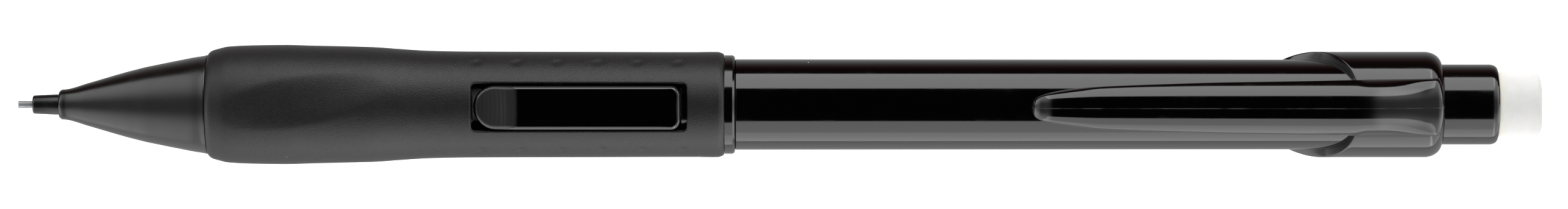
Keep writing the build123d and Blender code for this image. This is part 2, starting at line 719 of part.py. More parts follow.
def make_spiral_guide():
    guide = tube(X_GUIDE, X_GUIDE_END, GUIDE_R, SLOT_TUBE_R + RUN)
    x_ring = X_GUIDE_END - FRICTION_RING_BACK
    ring_floor = GUIDE_R - FRICTION_RING_GROOVE / 2
    guide -= tube(x_ring - FRICTION_RING, x_ring, GUIDE_R + 1, ring_floor)
    start = X_LUG - TWIST_IN - TWIST_PITCH / 24
    length = TWIST_IN + TWIST_OUT + TWIST_PITCH / 12
    turn_at_start = -360 * (X_LUG - start) / TWIST_PITCH
    depth = GROOVE_R - SLOT_TUBE_R + GROOVE_OVERCUT
    middle_r = GROOVE_R - depth / 2
    for start_angle in (0, 180):
        path = Helix(TWIST_PITCH, length, middle_r)
        section = Plane(origin=path @ 0, x_dir=(1, 0, 0), z_dir=path % 0)
        thread = sweep(section * Rectangle(depth, GROOVE), path=path, is_frenet=True)
        upright = Pos(start, 0, 0) * Rot(0, 90, 0) * Rot(0, 0, 180) * thread
        guide -= about_axis(upright, turn_at_start + start_angle)
    return guide


def make_guide_ring():
    x_ring = X_GUIDE_END - FRICTION_RING_BACK
    floor_r = GUIDE_R - FRICTION_RING_GROOVE / 2
    return tube(x_ring - FRICTION_RING, x_ring, GUIDE_R + RUN / 2, floor_r)


def make_eraser_carrier():
    stem_r = SLOT_TUBE_BORE_R - RUN
    cup_r = HOUSE_BORE_R - RUN
    x_cup_end = X_HOLDER + HOLDER_LENGTH
    outline = [
        (X_CARRIER, 0),
        (X_ERASER, 0),
        (X_ERASER, ERASER_R - HOLDER_WALL),
        (x_cup_end, ERASER_R - HOLDER_WALL),
        (x_cup_end, cup_r),
        (X_HOLDER, cup_r),
        (X_HOLDER, stem_r),
        (X_CARRIER, stem_r),
    ]
    carrier = turned(*outline)
    pin_reach = GROOVE_R - 2 * RUN
    return carrier + Pos(X_LUG, 0, 0) * Cylinder(LUG_PIN_R, 2 * pin_reach)


def make_eraser():
    x_cup_end = X_HOLDER + HOLDER_LENGTH
    core_r = ERASER_R - HOLDER_WALL - SEAT
    turn_in = ERASER_CORNER * (1 - math.sqrt(0.5))
    outline = [
        Polyline(
            (TOTAL, ERASER_R - ERASER_CORNER),
            (TOTAL, 0),
            (X_ERASER, 0),
            (X_ERASER, core_r),
            (x_cup_end, core_r),
            (x_cup_end, ERASER_R),
            (TOTAL - ERASER_CORNER, ERASER_R),
        ),
        ThreePointArc(
            (TOTAL - ERASER_CORNER, ERASER_R),
            (TOTAL - turn_in, ERASER_R - turn_in),
            (TOTAL, ERASER_R - ERASER_CORNER),
        ),
    ]
    return revolve(make_face(Curve() + outline), axis=Axis.X)


PIECES = {
    "lead": make_lead,
    "lead_sleeve": make_lead_sleeve,
    "lead_retainer": make_lead_retainer,
    "nose_cone": make_nose_cone,
    "front_barrel": make_front_barrel,
    "grip_sleeve": make_grip_sleeve,
    "rear_barrel": make_rear_barrel,
    "clip_cap": make_clip_cap,
    "side_button": make_side_button,
    "slide_cam": make_slide_cam,
    "lead_tube": make_lead_tube,
    "spare_leads": make_spare_leads,
    "chuck": make_chuck,
    "clutch_ring": make_clutch_ring,
    "chuck_housing": make_chuck_housing,
    "return_spring": make_return_spring,
    "twist_knob": make_twist_knob,
    "knob_retainer": make_knob_retainer,
    "spiral_guide": make_spiral_guide,
    "guide_ring": make_guide_ring,
    "eraser_carrier": make_eraser_carrier,
    "eraser": make_eraser,
}

desk_z = lowest_z(make_grip_sleeve())
for piece_name, make_piece in PIECES.items():
    save(piece_name, make_piece(), desk_z)
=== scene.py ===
"""Side-advance mechanical pencil: surfaces, finishes and studio around the CAD frame."""
import math

import bmesh
import bpy
import numpy as np
from bpy.props import FloatProperty, FloatVectorProperty, IntProperty, PointerProperty
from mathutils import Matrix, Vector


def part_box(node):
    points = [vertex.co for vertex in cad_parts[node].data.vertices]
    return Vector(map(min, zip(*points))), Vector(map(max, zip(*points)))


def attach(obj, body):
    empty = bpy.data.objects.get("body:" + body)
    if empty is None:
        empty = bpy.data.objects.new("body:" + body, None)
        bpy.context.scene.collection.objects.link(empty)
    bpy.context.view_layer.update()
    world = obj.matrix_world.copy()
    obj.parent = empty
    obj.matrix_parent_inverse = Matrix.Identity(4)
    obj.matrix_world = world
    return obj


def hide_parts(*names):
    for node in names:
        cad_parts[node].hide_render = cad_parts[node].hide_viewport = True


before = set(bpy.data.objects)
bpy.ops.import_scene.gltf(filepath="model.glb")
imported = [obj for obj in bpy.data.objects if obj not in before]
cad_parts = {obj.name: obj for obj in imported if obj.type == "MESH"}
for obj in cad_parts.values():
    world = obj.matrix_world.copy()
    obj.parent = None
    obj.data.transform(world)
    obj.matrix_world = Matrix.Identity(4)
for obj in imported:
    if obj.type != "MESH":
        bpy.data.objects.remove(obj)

bl_info = {
    "name": "Mechanical pencil",
    "version": (1, 0, 0),
    "blender": (4, 5, 0),
    "location": "3D View > Sidebar > Pencil",
    "description": "Builds a side-advance mechanical pencil around its CAD frame",
    "category": "Add Mesh",
}

MM = 0.001


def span(node):
    """First and last station of a CAD node along the pencil, in millimetres."""
    low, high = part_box(node)
    return low.x / MM, high.x / MM


AXIS_HEIGHT = sum(corner.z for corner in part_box("nose_cone")) / 2 / MM
CLIP_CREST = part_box("clip_cap")[1].z / MM - AXIS_HEIGHT
GRIP_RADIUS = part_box("grip_sleeve")[1].y / MM
BARREL_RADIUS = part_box("rear_barrel")[1].y / MM
CAP_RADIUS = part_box("clip_cap")[1].y / MM
ERASER_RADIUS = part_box("eraser")[1].y / MM
LEAD_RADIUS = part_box("lead")[1].y / MM
BUTTON_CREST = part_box("side_button")[1].z / MM - AXIS_HEIGHT


# ------------------------------------------------------------------ settings
def setting(name, default, low, high, text):
    """A length in millimetres, or an angle, that a maker may change."""
    return FloatProperty(name=name, default=default, min=low, max=high, description=text)


def colour_setting(name, default, text):
    """A base colour that a maker may change."""
    return FloatVectorProperty(name=name, subtype="COLOR", size=3, default=default, min=0.0,
                               max=1.0, description=text)


class PencilSizes(bpy.types.PropertyGroup):
    """Shapes that a maker may change, in millimetres and degrees."""

    finger_depth: setting("Finger hollow depth", 0.34, 0.0, 0.6,
                          "How deep the three finger hollows go into the grip's swell, in mm")
    finger_twist: setting("Finger hollow twist", 1.75, -6.0, 6.0,
                          "How far the finger hollows turn about the pencil, in degrees per mm")
    dimple_radius: setting("Dimple radius", 0.75, 0.2, 1.5, "Radius of each grip dimple, in mm")
    dimple_depth: setting("Dimple depth", 0.13, 0.0, 0.4, "Depth of each grip dimple, in mm")
    dimple_count: IntProperty(
        name="Dimples in a row", default=6, min=0, max=12,
        description="Dimples in each of the two rows beside the button")
    window_edge: setting("Window edge", 0.16, 0.05, 0.4,
                         "Radius of the rounded edge round the button window, in mm")
    button_edge: setting("Button edge", 0.42, 0.1, 0.8,
                         "Radius of the button's rounded upper edge, in mm")
    clip_crown: setting("Clip crown radius", 3.15, 3.0, 12.0,
                        "Radius of the clip's rounded top across its width, in mm")
    cap_rim: setting("Cap rim radius", 0.14, 0.05, 0.3,
                     "Radius of the rounded rim of the cap's slanted front edge, in mm")
    eraser_corner: setting("Eraser corner", 0.6, 0.1, 1.5,
                           "Radius of the eraser's end corner, in mm")


class PencilColours(bpy.types.PropertyGroup):
    """Base colours of the pencil's finishes."""

    barrel: colour_setting("Barrel and cap", (0.0008, 0.0008, 0.0009),
                           "Glossy barrel, cap, clip and button")
    nose: colour_setting("Nose", (0.0012, 0.0012, 0.0013), "Nose cone and sliding point")
    grip: colour_setting("Grip rubber", (0.0042, 0.0042, 0.0045), "Soft grip")
    eraser: colour_setting("Eraser", (0.80, 0.80, 0.785), "Eraser block")
    graphite: colour_setting("Lead", (0.30, 0.31, 0.32), "Lead")
    dust: colour_setting("Dust", (0.55, 0.55, 0.54), "Dust specks on the dark pieces")


class PencilStudio(bpy.types.PropertyGroup):
    """Camera and light."""

    camera_distance: FloatProperty(
        name="Camera distance", unit="LENGTH", default=0.62, min=0.2, max=3.0,
        description="From the camera to the pencil's axis")
    camera_lean: FloatProperty(
        name="Camera lean", subtype="ANGLE", default=math.radians(3.3),
        description="How far the camera leans from straight above, towards the far side")
    view_width: FloatProperty(
        name="View width", unit="LENGTH", default=0.15456, min=0.05, max=1.0,
        description="Width of the picture at the pencil's axis")
    view_shift: FloatProperty(
        name="View centre", unit="LENGTH", default=0.00048, min=-0.1, max=0.1,
        description="Where the picture's middle falls along the pencil")
    panel_light: FloatProperty(
        name="Panel brightness", default=4.2, min=0.0, max=50.0,
        description="Radiance of the far light panel; the near ones are a little dimmer")
    fill_light: FloatProperty(
        name="Fill brightness", default=2.35, min=0.0, max=50.0,
        description="Radiance of the panels that light matte surfaces and never reflect")
    end_light: FloatProperty(
        name="End brightness", default=0.5, min=0.0, max=10.0,
        description="Brightness of the room past the pencil's two ends")


# ------------------------------------------------------------------ curves and grids
def smooth_curve(knots, x):
    """Value at x of a cubic Hermite curve through the knots.

    Each inner slope is the harmonic mean of its two chords, or zero at a turning point, so
    the curve never swings past a knot.
    """
    kx, ky = np.asarray(knots, float).T
    h = np.diff(kx)
    chord = np.diff(ky) / h
    slope = np.concatenate(([chord[0]], np.zeros(len(kx) - 2), [chord[-1]]))
    product = chord[:-1] * chord[1:]
    total = np.where(product > 0, chord[:-1] + chord[1:], 1.0)
    slope[1:-1] = np.where(product > 0, 2 * product / total, 0.0)
    i = np.clip(np.searchsorted(kx, x) - 1, 0, len(h) - 1)
    t = np.clip((x - kx[i]) / h[i], 0, 1)
    rise = (1 + 2 * t) * (1 - t) ** 2 * ky[i] + t * t * (3 - 2 * t) * ky[i + 1]
    return rise + h[i] * (t * (1 - t) ** 2 * slope[i] + t * t * (t - 1) * slope[i + 1])


def smooth_step(low, high, x):
    """0 below low, 1 above high, and 3t^2 - 2t^3 between."""
    t = np.clip((x - low) / (high - low), 0, 1)
    return t * t * (3 - 2 * t)


def soft_min(a, b, blend):
    """The smaller of a and b, rounded where they cross: (a + b - sqrt((a - b)^2 + blend^2)) / 2."""
    return (a + b - np.sqrt((a - b) ** 2 + blend ** 2)) / 2


def rounded(points, radii, steps=7, support=0.12):
    """A closed outline with each corner replaced by an arc of the given radius.

    The arc leaves its two sides radius / tan(half the corner's angle) from the corner. One
    more point is added past each end of an arc, so that shading stays flat beyond it.
    """
    points = np.asarray(points, float)
    before = np.roll(points, 1, 0)
    after = np.roll(points, -1, 0)
    outline = []
    for p, a, b, radius in zip(points, before, after, radii):
        if radius == 0:
            outline.append(p[None])
            continue
        to_a, to_b = a - p, b - p
        length_a, length_b = np.linalg.norm(to_a), np.linalg.norm(to_b)
        to_a, to_b = to_a / length_a, to_b / length_b
        half = np.arccos(np.clip(to_a @ to_b, -1, 1)) / 2
        cut = min(radius / np.tan(half), 0.45 * length_a, 0.45 * length_b)
        extra = min(support, 0.04 * length_a, 0.04 * length_b)
        radius = cut * np.tan(half)
        middle = p + (to_a + to_b) / np.linalg.norm(to_a + to_b) * radius / np.sin(half)
        start, end = p + to_a * cut - middle, p + to_b * cut - middle
        turn = np.arccos(np.clip(start @ end / radius ** 2, -1, 1))
        k = np.linspace(0, 1, steps)[:, None]
        arc = middle + (np.sin((1 - k) * turn) * start + np.sin(k * turn) * end) / np.sin(turn)
        outline += [(p + to_a * (cut + extra))[None], arc, (p + to_b * (cut + extra))[None]]
    return np.vstack(outline)


def grid_faces(rows, columns, close_rows=False, close_columns=True):
    """The quads of a grid of vertices numbered along each row in turn."""
    r, c = np.meshgrid(
        np.arange(rows if close_rows else rows - 1),
        np.arange(columns if close_columns else columns - 1), indexing="ij")
    r2, c2 = (r + 1) % rows, (c + 1) % columns
    quads = (r * columns + c, r * columns + c2, r2 * columns + c2, r2 * columns + c)
    return np.stack(quads, -1).reshape(-1, 4)


def strip(a, b):
    """The quads between two loops of vertex numbers."""
    return np.stack([a, b, np.roll(b, -1), np.roll(a, -1)], -1)


def turned_surface(outline, segments=192):
    """Points and faces of a closed (station, radius) outline turned about the pencil's axis.

    Point (i, j) is (x_i, r_i sin a_j, r_i cos a_j), with a_j going once round.
    """
    x, r = outline[:, 0, None], outline[:, 1, None]
    a = np.linspace(0, 2 * np.pi, segments, endpoint=False)[None]
    points = np.stack(np.broadcast_arrays(x, r * np.sin(a), r * np.cos(a)), -1)
    return points.reshape(-1, 3), grid_faces(len(outline), segments, close_rows=True)


def add_piece(name, points, faces, body, node=None, weld=False, sharp=35.0):
    """A mesh object from points in mm about the pencil's axis, put in the frame.

    If the faces point inwards, which a negative volume shows, they are all reversed.
    """
    a, b, c, d = (points[faces[:, k]] for k in range(4))
    volume = np.einsum("ij,ij->i", a, np.cross(b, c)) + np.einsum("ij,ij->i", a, np.cross(c, d))
    if volume.sum() < 0:
        faces = faces[:, ::-1]
    placed = points * MM + np.array([0, 0, AXIS_HEIGHT * MM])
    mesh = bpy.data.meshes.new(name)
    mesh.from_pydata(placed.tolist(), [], faces.tolist())
    if weld:
        work = bmesh.new()
        work.from_mesh(mesh)
        bmesh.ops.remove_doubles(work, verts=work.verts, dist=1e-7)
        loose = [edge for edge in work.edges if not edge.link_faces]
        bmesh.ops.delete(work, geom=loose, context="EDGES")
        work.to_mesh(mesh)
        work.free()
    mesh.validate()
    mesh.shade_smooth()
    mesh.set_sharp_from_angle(angle=math.radians(sharp))
    piece = bpy.data.objects.new(name, mesh)
    bpy.context.scene.collection.objects.link(piece)
    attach(piece, body)
    if node:
        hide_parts(node)
    return piece


# ------------------------------------------------------------------ shader groups
def put(tree, kind, **values):
    """A new node with attributes and input values set by name; i0, i1... set inputs by place."""
    node = tree.nodes.new(kind)
    for key, value in values.items():
        if key[0] == "i" and key[1:].isdigit():
            node.inputs[int(key[1:])].default_value = value
        elif key in node.inputs.keys():
            node.inputs[key].default_value = value
        else:
            setattr(node, key, value)
    return node


def placed(tree, kind, **values):
    """A node, as put makes it, whose first input is the object's own coordinates."""
    node = put(tree, kind, **values)
    tree.links.new(tree.nodes.new("ShaderNodeTexCoord").outputs["Object"], node.inputs[0])
    return node


def maths(tree, operation, a, b=0.0, c=0.0):
    """A Math node whose operands are sockets or numbers; returns its output."""
    node = put(tree, "ShaderNodeMath", operation=operation)
    for socket, value in zip(node.inputs, (a, b, c)):
        if isinstance(value, bpy.types.NodeSocket):
            tree.links.new(value, socket)
        else:
            socket.default_value = value
    return node.outputs[0]


def ramp(tree, value, low, high, to_low=0.0, to_high=1.0):
    """Maps low..high smoothly to to_low..to_high."""
    node = put(tree, "ShaderNodeMapRange", interpolation_type="SMOOTHSTEP")
    tree.links.new(value, node.inputs[0])
    for i, number in enumerate((low, high, to_low, to_high)):
        node.inputs[i + 1].default_value = number
    return node.outputs[0]


def new_group(name, inputs, outputs):
    """An empty shader group with float sockets; returns it with its two end nodes."""
    tree = bpy.data.node_groups.new(name, "ShaderNodeTree")
    for label, value in inputs.items():
        socket = tree.interface.new_socket(label, in_out="INPUT", socket_type="NodeSocketFloat")
        socket.default_value = value
    for label in outputs:
        tree.interface.new_socket(label, in_out="OUTPUT", socket_type="NodeSocketFloat")
    return tree, tree.nodes.new("NodeGroupInput"), tree.nodes.new("NodeGroupOutput")


def dust_group():
    """White specks: the middles of a few of the cells of a fine Voronoi pattern."""
    inputs = {"Cells per metre": 700.0, "Amount": 0.03, "Speck size": 0.045}
    tree, given, result = new_group("Dust specks", inputs, ["Mask"])
    cells = placed(tree, "ShaderNodeTexVoronoi")
    tree.links.new(given.outputs["Cells per metre"], cells.inputs["Scale"])
    chance = put(tree, "ShaderNodeSeparateColor")
    tree.links.new(cells.outputs["Color"], chance.inputs[0])
    chosen = maths(tree, "LESS_THAN", chance.outputs[0], given.outputs["Amount"])
    size = maths(tree, "MULTIPLY", given.outputs["Speck size"], chance.outputs[1])
    near = maths(tree, "LESS_THAN", cells.outputs["Distance"], size)
    tree.links.new(maths(tree, "MULTIPLY", chosen, near), result.inputs["Mask"])
    return tree


def moulded_group():
    """Moulded gloss: slow waviness in the surface, hair scratches and patches of handling."""
    inputs = {"Roughness": 0.1, "Scratches": 0.5, "Haze": 0.06, "Waviness": 0.4}
    tree, given, result = new_group("Moulded gloss", inputs, ["Roughness", "Height"])
    wave = placed(tree, "ShaderNodeTexNoise", Scale=130.0, Detail=1.0)
    patch = placed(tree, "ShaderNodeTexNoise", Scale=420.0, Detail=5.0, Roughness=0.62)
    turn = placed(tree, "ShaderNodeMapping", Rotation=(0.3, 0.5, 0.35),
                  Scale=(260.0, 5200.0, 5200.0))
    hair = put(tree, "ShaderNodeTexNoise", Scale=1.0, Detail=2.0, Roughness=0.5)
    tree.links.new(turn.outputs[0], hair.inputs["Vector"])
    scratch = ramp(tree, hair.outputs[0], 0.66, 0.72)
    handled = ramp(tree, patch.outputs[0], 0.45, 0.75)
    scratch = maths(tree, "MULTIPLY", scratch, given.outputs["Scratches"])
    haze = maths(tree, "MULTIPLY", handled, given.outputs["Haze"])
    rough = maths(tree, "ADD", given.outputs["Roughness"], haze)
    rough = maths(tree, "MULTIPLY_ADD", scratch, 0.10, rough)
    height = maths(tree, "MULTIPLY", wave.outputs[0], given.outputs["Waviness"])
    height = maths(tree, "MULTIPLY_ADD", scratch, -0.012, height)
    tree.links.new(rough, result.inputs["Roughness"])
    tree.links.new(height, result.inputs["Height"])
    return tree


def rubber_group():
    """Rubber skin: a pebble grain a tenth of a millimetre across over soft blotches."""
    inputs = {"Grain per metre": 9000.0, "Blotch per metre": 700.0}
    tree, given, result = new_group("Rubber skin", inputs, ["Shade", "Height", "Roughness"])
    grain = placed(tree, "ShaderNodeTexNoise", Detail=3.0, Roughness=0.7)
    pebble = placed(tree, "ShaderNodeTexVoronoi")
    blotch = placed(tree, "ShaderNodeTexNoise", Detail=4.0, Roughness=0.6)
    tree.links.new(given.outputs["Grain per metre"], grain.inputs["Scale"])
    tree.links.new(given.outputs["Grain per metre"], pebble.inputs["Scale"])
    tree.links.new(given.outputs["Blotch per metre"], blotch.inputs["Scale"])
    height = maths(tree, "MULTIPLY_ADD", pebble.outputs["Distance"], 0.5, grain.outputs[0])
    tree.links.new(height, result.inputs["Height"])
    tree.links.new(ramp(tree, blotch.outputs[0], 0.3, 0.75, 0.82, 1.25), result.inputs["Shade"])
    tree.links.new(ramp(tree, grain.outputs[0], 0.3, 0.7, 0.32, 0.46), result.inputs["Roughness"])
    return tree


def wear_group():
    """Edge wear: where the mesh is sharply convex, broken up by a fine noise."""
    inputs = {"Reach": 0.06, "Breakup per metre": 4000.0}
    tree, given, result = new_group("Edge wear", inputs, ["Mask"])
    shape = tree.nodes.new("ShaderNodeNewGeometry")
    noise = placed(tree, "ShaderNodeTexNoise", Detail=3.0)
    tree.links.new(given.outputs["Breakup per metre"], noise.inputs["Scale"])
    edge = maths(tree, "SUBTRACT", shape.outputs["Pointiness"], 0.5)
    edge = maths(tree, "DIVIDE", edge, given.outputs["Reach"])
    broken = maths(tree, "MULTIPLY", edge, ramp(tree, noise.outputs[0], 0.35, 0.65))
    node = put(tree, "ShaderNodeClamp")
    tree.links.new(broken, node.inputs[0])
    tree.links.new(node.outputs[0], result.inputs["Mask"])
    return tree


GROUP_MAKERS = {
    "Dust specks": dust_group,
    "Moulded gloss": moulded_group,
    "Rubber skin": rubber_group,
    "Edge wear": wear_group,
}


def use_group(tree, name, **values):
    """A node that holds the named shared group, made the first time it is asked for."""
    group = bpy.data.node_groups.get(name) or GROUP_MAKERS[name]()
    node = put(tree, "ShaderNodeGroup", node_tree=group)
    for label, value in values.items():
        node.inputs[label.replace("_", " ")].default_value = value
    return node


# ------------------------------------------------------------------ materials
def start_material(name):
    """A new material; returns it with its tree and its Principled BSDF."""
    material = bpy.data.materials.new(name)
    material.use_nodes = True
    tree = material.node_tree
    return material, tree, tree.nodes["Principled BSDF"]


def mix_colours(tree, mask, first, second):
    """Colour first where mask is 0 and second where it is 1; each is a socket or a colour."""
    node = put(tree, "ShaderNodeMix", data_type="RGBA")
    tree.links.new(mask, node.inputs[0])
    for socket, value in ((node.inputs[6], first), (node.inputs[7], second)):
        if isinstance(value, bpy.types.NodeSocket):
            tree.links.new(value, socket)
        else:
            socket.default_value = (*value, 1.0)
    return node.outputs[2]


def add_bump(tree, bsdf, height, strength, distance):
    """Feeds a height, in units of distance metres, to the shader's normal."""
    bump = put(tree, "ShaderNodeBump", Strength=strength, Distance=distance)
    tree.links.new(height, bump.inputs["Height"])
    tree.links.new(bump.outputs[0], bsdf.inputs["Normal"])


def gloss_plastic(name, colour, roughness, haze=0.05, scratches=0.5, dust=0.05, waviness=0.4):
    """Dark moulded plastic with moulding waviness, hair scratches, handling haze and dust."""
    material, tree, bsdf = start_material(name)
    colours = bpy.context.scene.pencil_colours
    skin = use_group(
        tree, "Moulded gloss", Roughness=roughness, Haze=haze, Scratches=scratches,
        Waviness=waviness)
    specks = use_group(tree, "Dust specks", Amount=dust)
    base = mix_colours(tree, specks.outputs[0], colour, tuple(colours.dust))
    tree.links.new(base, bsdf.inputs["Base Color"])
    rough = maths(tree, "MULTIPLY_ADD", specks.outputs[0], 0.5, skin.outputs["Roughness"])
    tree.links.new(rough, bsdf.inputs["Roughness"])
    add_bump(tree, bsdf, skin.outputs["Height"], 1.0, 0.00002)
    bsdf.inputs["IOR"].default_value = 1.49
    return material


def grip_rubber():
    """Matte black elastomer: pebble grain, blotches, and dust caught in the grain."""
    material, tree, bsdf = start_material("grip_rubber")
    colours = bpy.context.scene.pencil_colours
    skin = use_group(tree, "Rubber skin")
    specks = use_group(tree, "Dust specks", Cells_per_metre=620.0, Amount=0.10, Speck_size=0.06)
    tinted = put(tree, "ShaderNodeMix", data_type="RGBA", blend_type="MULTIPLY", Factor=1.0)
    tinted.inputs[6].default_value = (*colours.grip, 1.0)
    tree.links.new(skin.outputs["Shade"], tinted.inputs[7])
    base = mix_colours(tree, specks.outputs[0], tinted.outputs[2], tuple(colours.dust))
    tree.links.new(base, bsdf.inputs["Base Color"])
    tree.links.new(skin.outputs["Roughness"], bsdf.inputs["Roughness"])
    add_bump(tree, bsdf, skin.outputs["Height"], 0.8, 0.00003)
    bsdf.inputs["IOR"].default_value = 1.37
    return material


def eraser_vinyl():
    """White vinyl eraser: faint blotches, a dusty skin and a yellowed ring at its root."""
    material, tree, bsdf = start_material("eraser_vinyl")
    colours = bpy.context.scene.pencil_colours
    blotch = placed(tree, "ShaderNodeTexNoise", Scale=650.0, Detail=5.0, Roughness=0.65)
    fine = placed(tree, "ShaderNodeTexNoise", Scale=6000.0, Detail=3.0, Roughness=0.6)
    split = placed(tree, "ShaderNodeSeparateXYZ")
    x_root = span("twist_knob")[1] * MM
    stained = ramp(tree, split.outputs[0], x_root, x_root + 0.0011, 1.0, 0.0)
    patchy = maths(tree, "MULTIPLY", stained, ramp(tree, blotch.outputs[0], 0.35, 0.7, 0.2, 0.75))
    soiled = ramp(tree, blotch.outputs[0], 0.42, 0.78, 0.0, 0.5)
    base = mix_colours(tree, soiled, tuple(colours.eraser), (0.70, 0.70, 0.685))
    base = mix_colours(tree, patchy, base, (0.80, 0.76, 0.58))
    tree.links.new(base, bsdf.inputs["Base Color"])
    tree.links.new(ramp(tree, fine.outputs[0], 0.3, 0.7, 0.55, 0.8), bsdf.inputs["Roughness"])
    add_bump(tree, bsdf, fine.outputs[0], 0.4, 0.00002)
    bsdf.inputs["Subsurface Weight"].default_value = 0.08
    bsdf.inputs["Subsurface Scale"].default_value = 0.0006
    return material


def graphite():
    """Polymer lead: silvery grey, with drawn lines along it."""
    material, tree, bsdf = start_material("graphite")
    colours = bpy.context.scene.pencil_colours
    stretch = placed(tree, "ShaderNodeMapping", Scale=(900.0, 14000.0, 14000.0))
    lines = put(tree, "ShaderNodeTexNoise", Scale=1.0, Detail=3.0)
    tree.links.new(stretch.outputs[0], lines.inputs[0])
    shade = ramp(tree, lines.outputs[0], 0.3, 0.7)
    dark = tuple(0.45 * c for c in colours.graphite)
    base = mix_colours(tree, shade, dark, tuple(colours.graphite))
    tree.links.new(base, bsdf.inputs["Base Color"])
    tree.links.new(ramp(tree, lines.outputs[0], 0.3, 0.7, 0.5, 0.32), bsdf.inputs["Roughness"])
    bsdf.inputs["Metallic"].default_value = 0.55
    add_bump(tree, bsdf, lines.outputs[0], 0.4, 0.00002)
    return material


def turned_metal(name, colour, roughness, rings_per_metre=9000.0):
    """Turned metal: fine rings round the axis, uneven tone and bright worn edges."""
    material, tree, bsdf = start_material(name)
    stretch = placed(tree, "ShaderNodeMapping", Scale=(rings_per_metre, 300.0, 300.0))
    rings = put(tree, "ShaderNodeTexNoise", Scale=1.0, Detail=2.0)
    tree.links.new(stretch.outputs[0], rings.inputs[0])
    tone = placed(tree, "ShaderNodeTexNoise", Scale=900.0, Detail=4.0)
    dull = tuple(0.72 * c for c in colour)
    base = mix_colours(tree, ramp(tree, tone.outputs[0], 0.3, 0.7), dull, colour)
    wear = use_group(tree, "Edge wear")
    bright = tuple(min(1.0, 1.25 * c) for c in colour)
    base = mix_colours(tree, wear.outputs[0], base, bright)
    tree.links.new(base, bsdf.inputs["Base Color"])
    rough = ramp(tree, rings.outputs[0], 0.3, 0.7, roughness * 0.75, roughness * 1.3)
    tree.links.new(rough, bsdf.inputs["Roughness"])
    bsdf.inputs["Metallic"].default_value = 1.0
    add_bump(tree, bsdf, rings.outputs[0], 0.5, 0.00001)
    return material


def natural_plastic(name, colour, roughness=0.38, cloud=0.12):
    """Unpainted moulded plastic: cloudy tone, satin skin and faint flow lines."""
    material, tree, bsdf = start_material(name)
    tone = placed(tree, "ShaderNodeTexNoise", Scale=380.0, Detail=4.0, Distortion=0.6)
    darker = tuple((1 - 2 * cloud) * c for c in colour)
    base = mix_colours(tree, ramp(tree, tone.outputs[0], 0.3, 0.7), darker, colour)
    tree.links.new(base, bsdf.inputs["Base Color"])
    skin = use_group(tree, "Moulded gloss", Roughness=roughness, Haze=0.1, Waviness=0.6)
    tree.links.new(skin.outputs["Roughness"], bsdf.inputs["Roughness"])
    add_bump(tree, bsdf, skin.outputs["Height"], 1.0, 0.00002)
    bsdf.inputs["Subsurface Weight"].default_value = 0.05
    bsdf.inputs["Subsurface Scale"].default_value = 0.0005
    return material


def paint(piece, material):
    """Gives a piece or a CAD node its one material."""
    piece.data.materials.clear()
    piece.data.materials.append(material)


def barrel_gloss():
    """The high-gloss black of the rear barrel, made once."""
    found = bpy.data.materials.get("barrel_gloss")
    colour = tuple(bpy.context.scene.pencil_colours.barrel)
    return found or gloss_plastic("barrel_gloss", colour, 0.075, haze=0.05, dust=0.035)


# ------------------------------------------------------------------ grip
GRIP_CLOSER = 0.07        # the rubber nearly meets the nose and the collar
GRIP_START = span("grip_sleeve")[0] - GRIP_CLOSER
GRIP_END = span("grip_sleeve")[1] + GRIP_CLOSER
GRIP_LENGTH = GRIP_END - GRIP_START
GRIP_BORE = 4.23
GRIP_PROFILE = [   # distance behind the grip's front edge, radius
    (0.0, 4.98), (0.16, 5.17), (0.42, 5.33), (0.95, 5.49), (2.0, 5.72), (4.2, 5.83),
    (7.6, GRIP_RADIUS), (10.2, 5.81), (13.6, 5.74), (16.4, 5.65), (18.8, 5.48), (21.8, 5.30),
    (25.6, 5.23), (36.0, 5.20), (47.8, 5.17), (49.6, 5.19), (50.25, 5.18), (50.52, 5.10),
    (50.74, 4.98), (GRIP_LENGTH, 4.84),
]
HOLLOW_AT = 9.2          # deepest point of each finger hollow behind the grip's front edge
HOLLOW_FRONT = 8.2       # how far a hollow reaches forward from there
HOLLOW_REAR = 8.6
HOLLOW_HALF_WIDTH = 2.7
HOLLOW_ANGLE = 7.0
DIMPLE_ROWS = ((57, 26.6, 1.0), (-55, 27.05, 0.65))  # angle, first station, size
DIMPLE_PITCH = 3.95
DIMPLE_STRETCH = 1.25    # length of a dimple over its width
DIMPLE_SLANT = 0.25
BUTTON_HALF = 2.13
WINDOW_SIDE = 0.22
WINDOW_FRONT = 0.20
WINDOW_REAR = 0.63
WINDOW_CORNER = 0.45
WINDOW_RADIUS = 5.20     # radius on which the window's outline is drawn
WINDOW_MARGIN = 0.6      # grid lines turn into rings this far outside the window
DESK_SIDE = 0.3          # the desk counts where the surface faces down at least this much
DESK_BLEND = 0.02
GRIP_LINES = {"front edge": 26, "front": 126, "rear": 14, "rear edge": 22, "around": 128}
WINDOW_LINES_ALONG = 124
WINDOW_LINES_ACROSS = 33


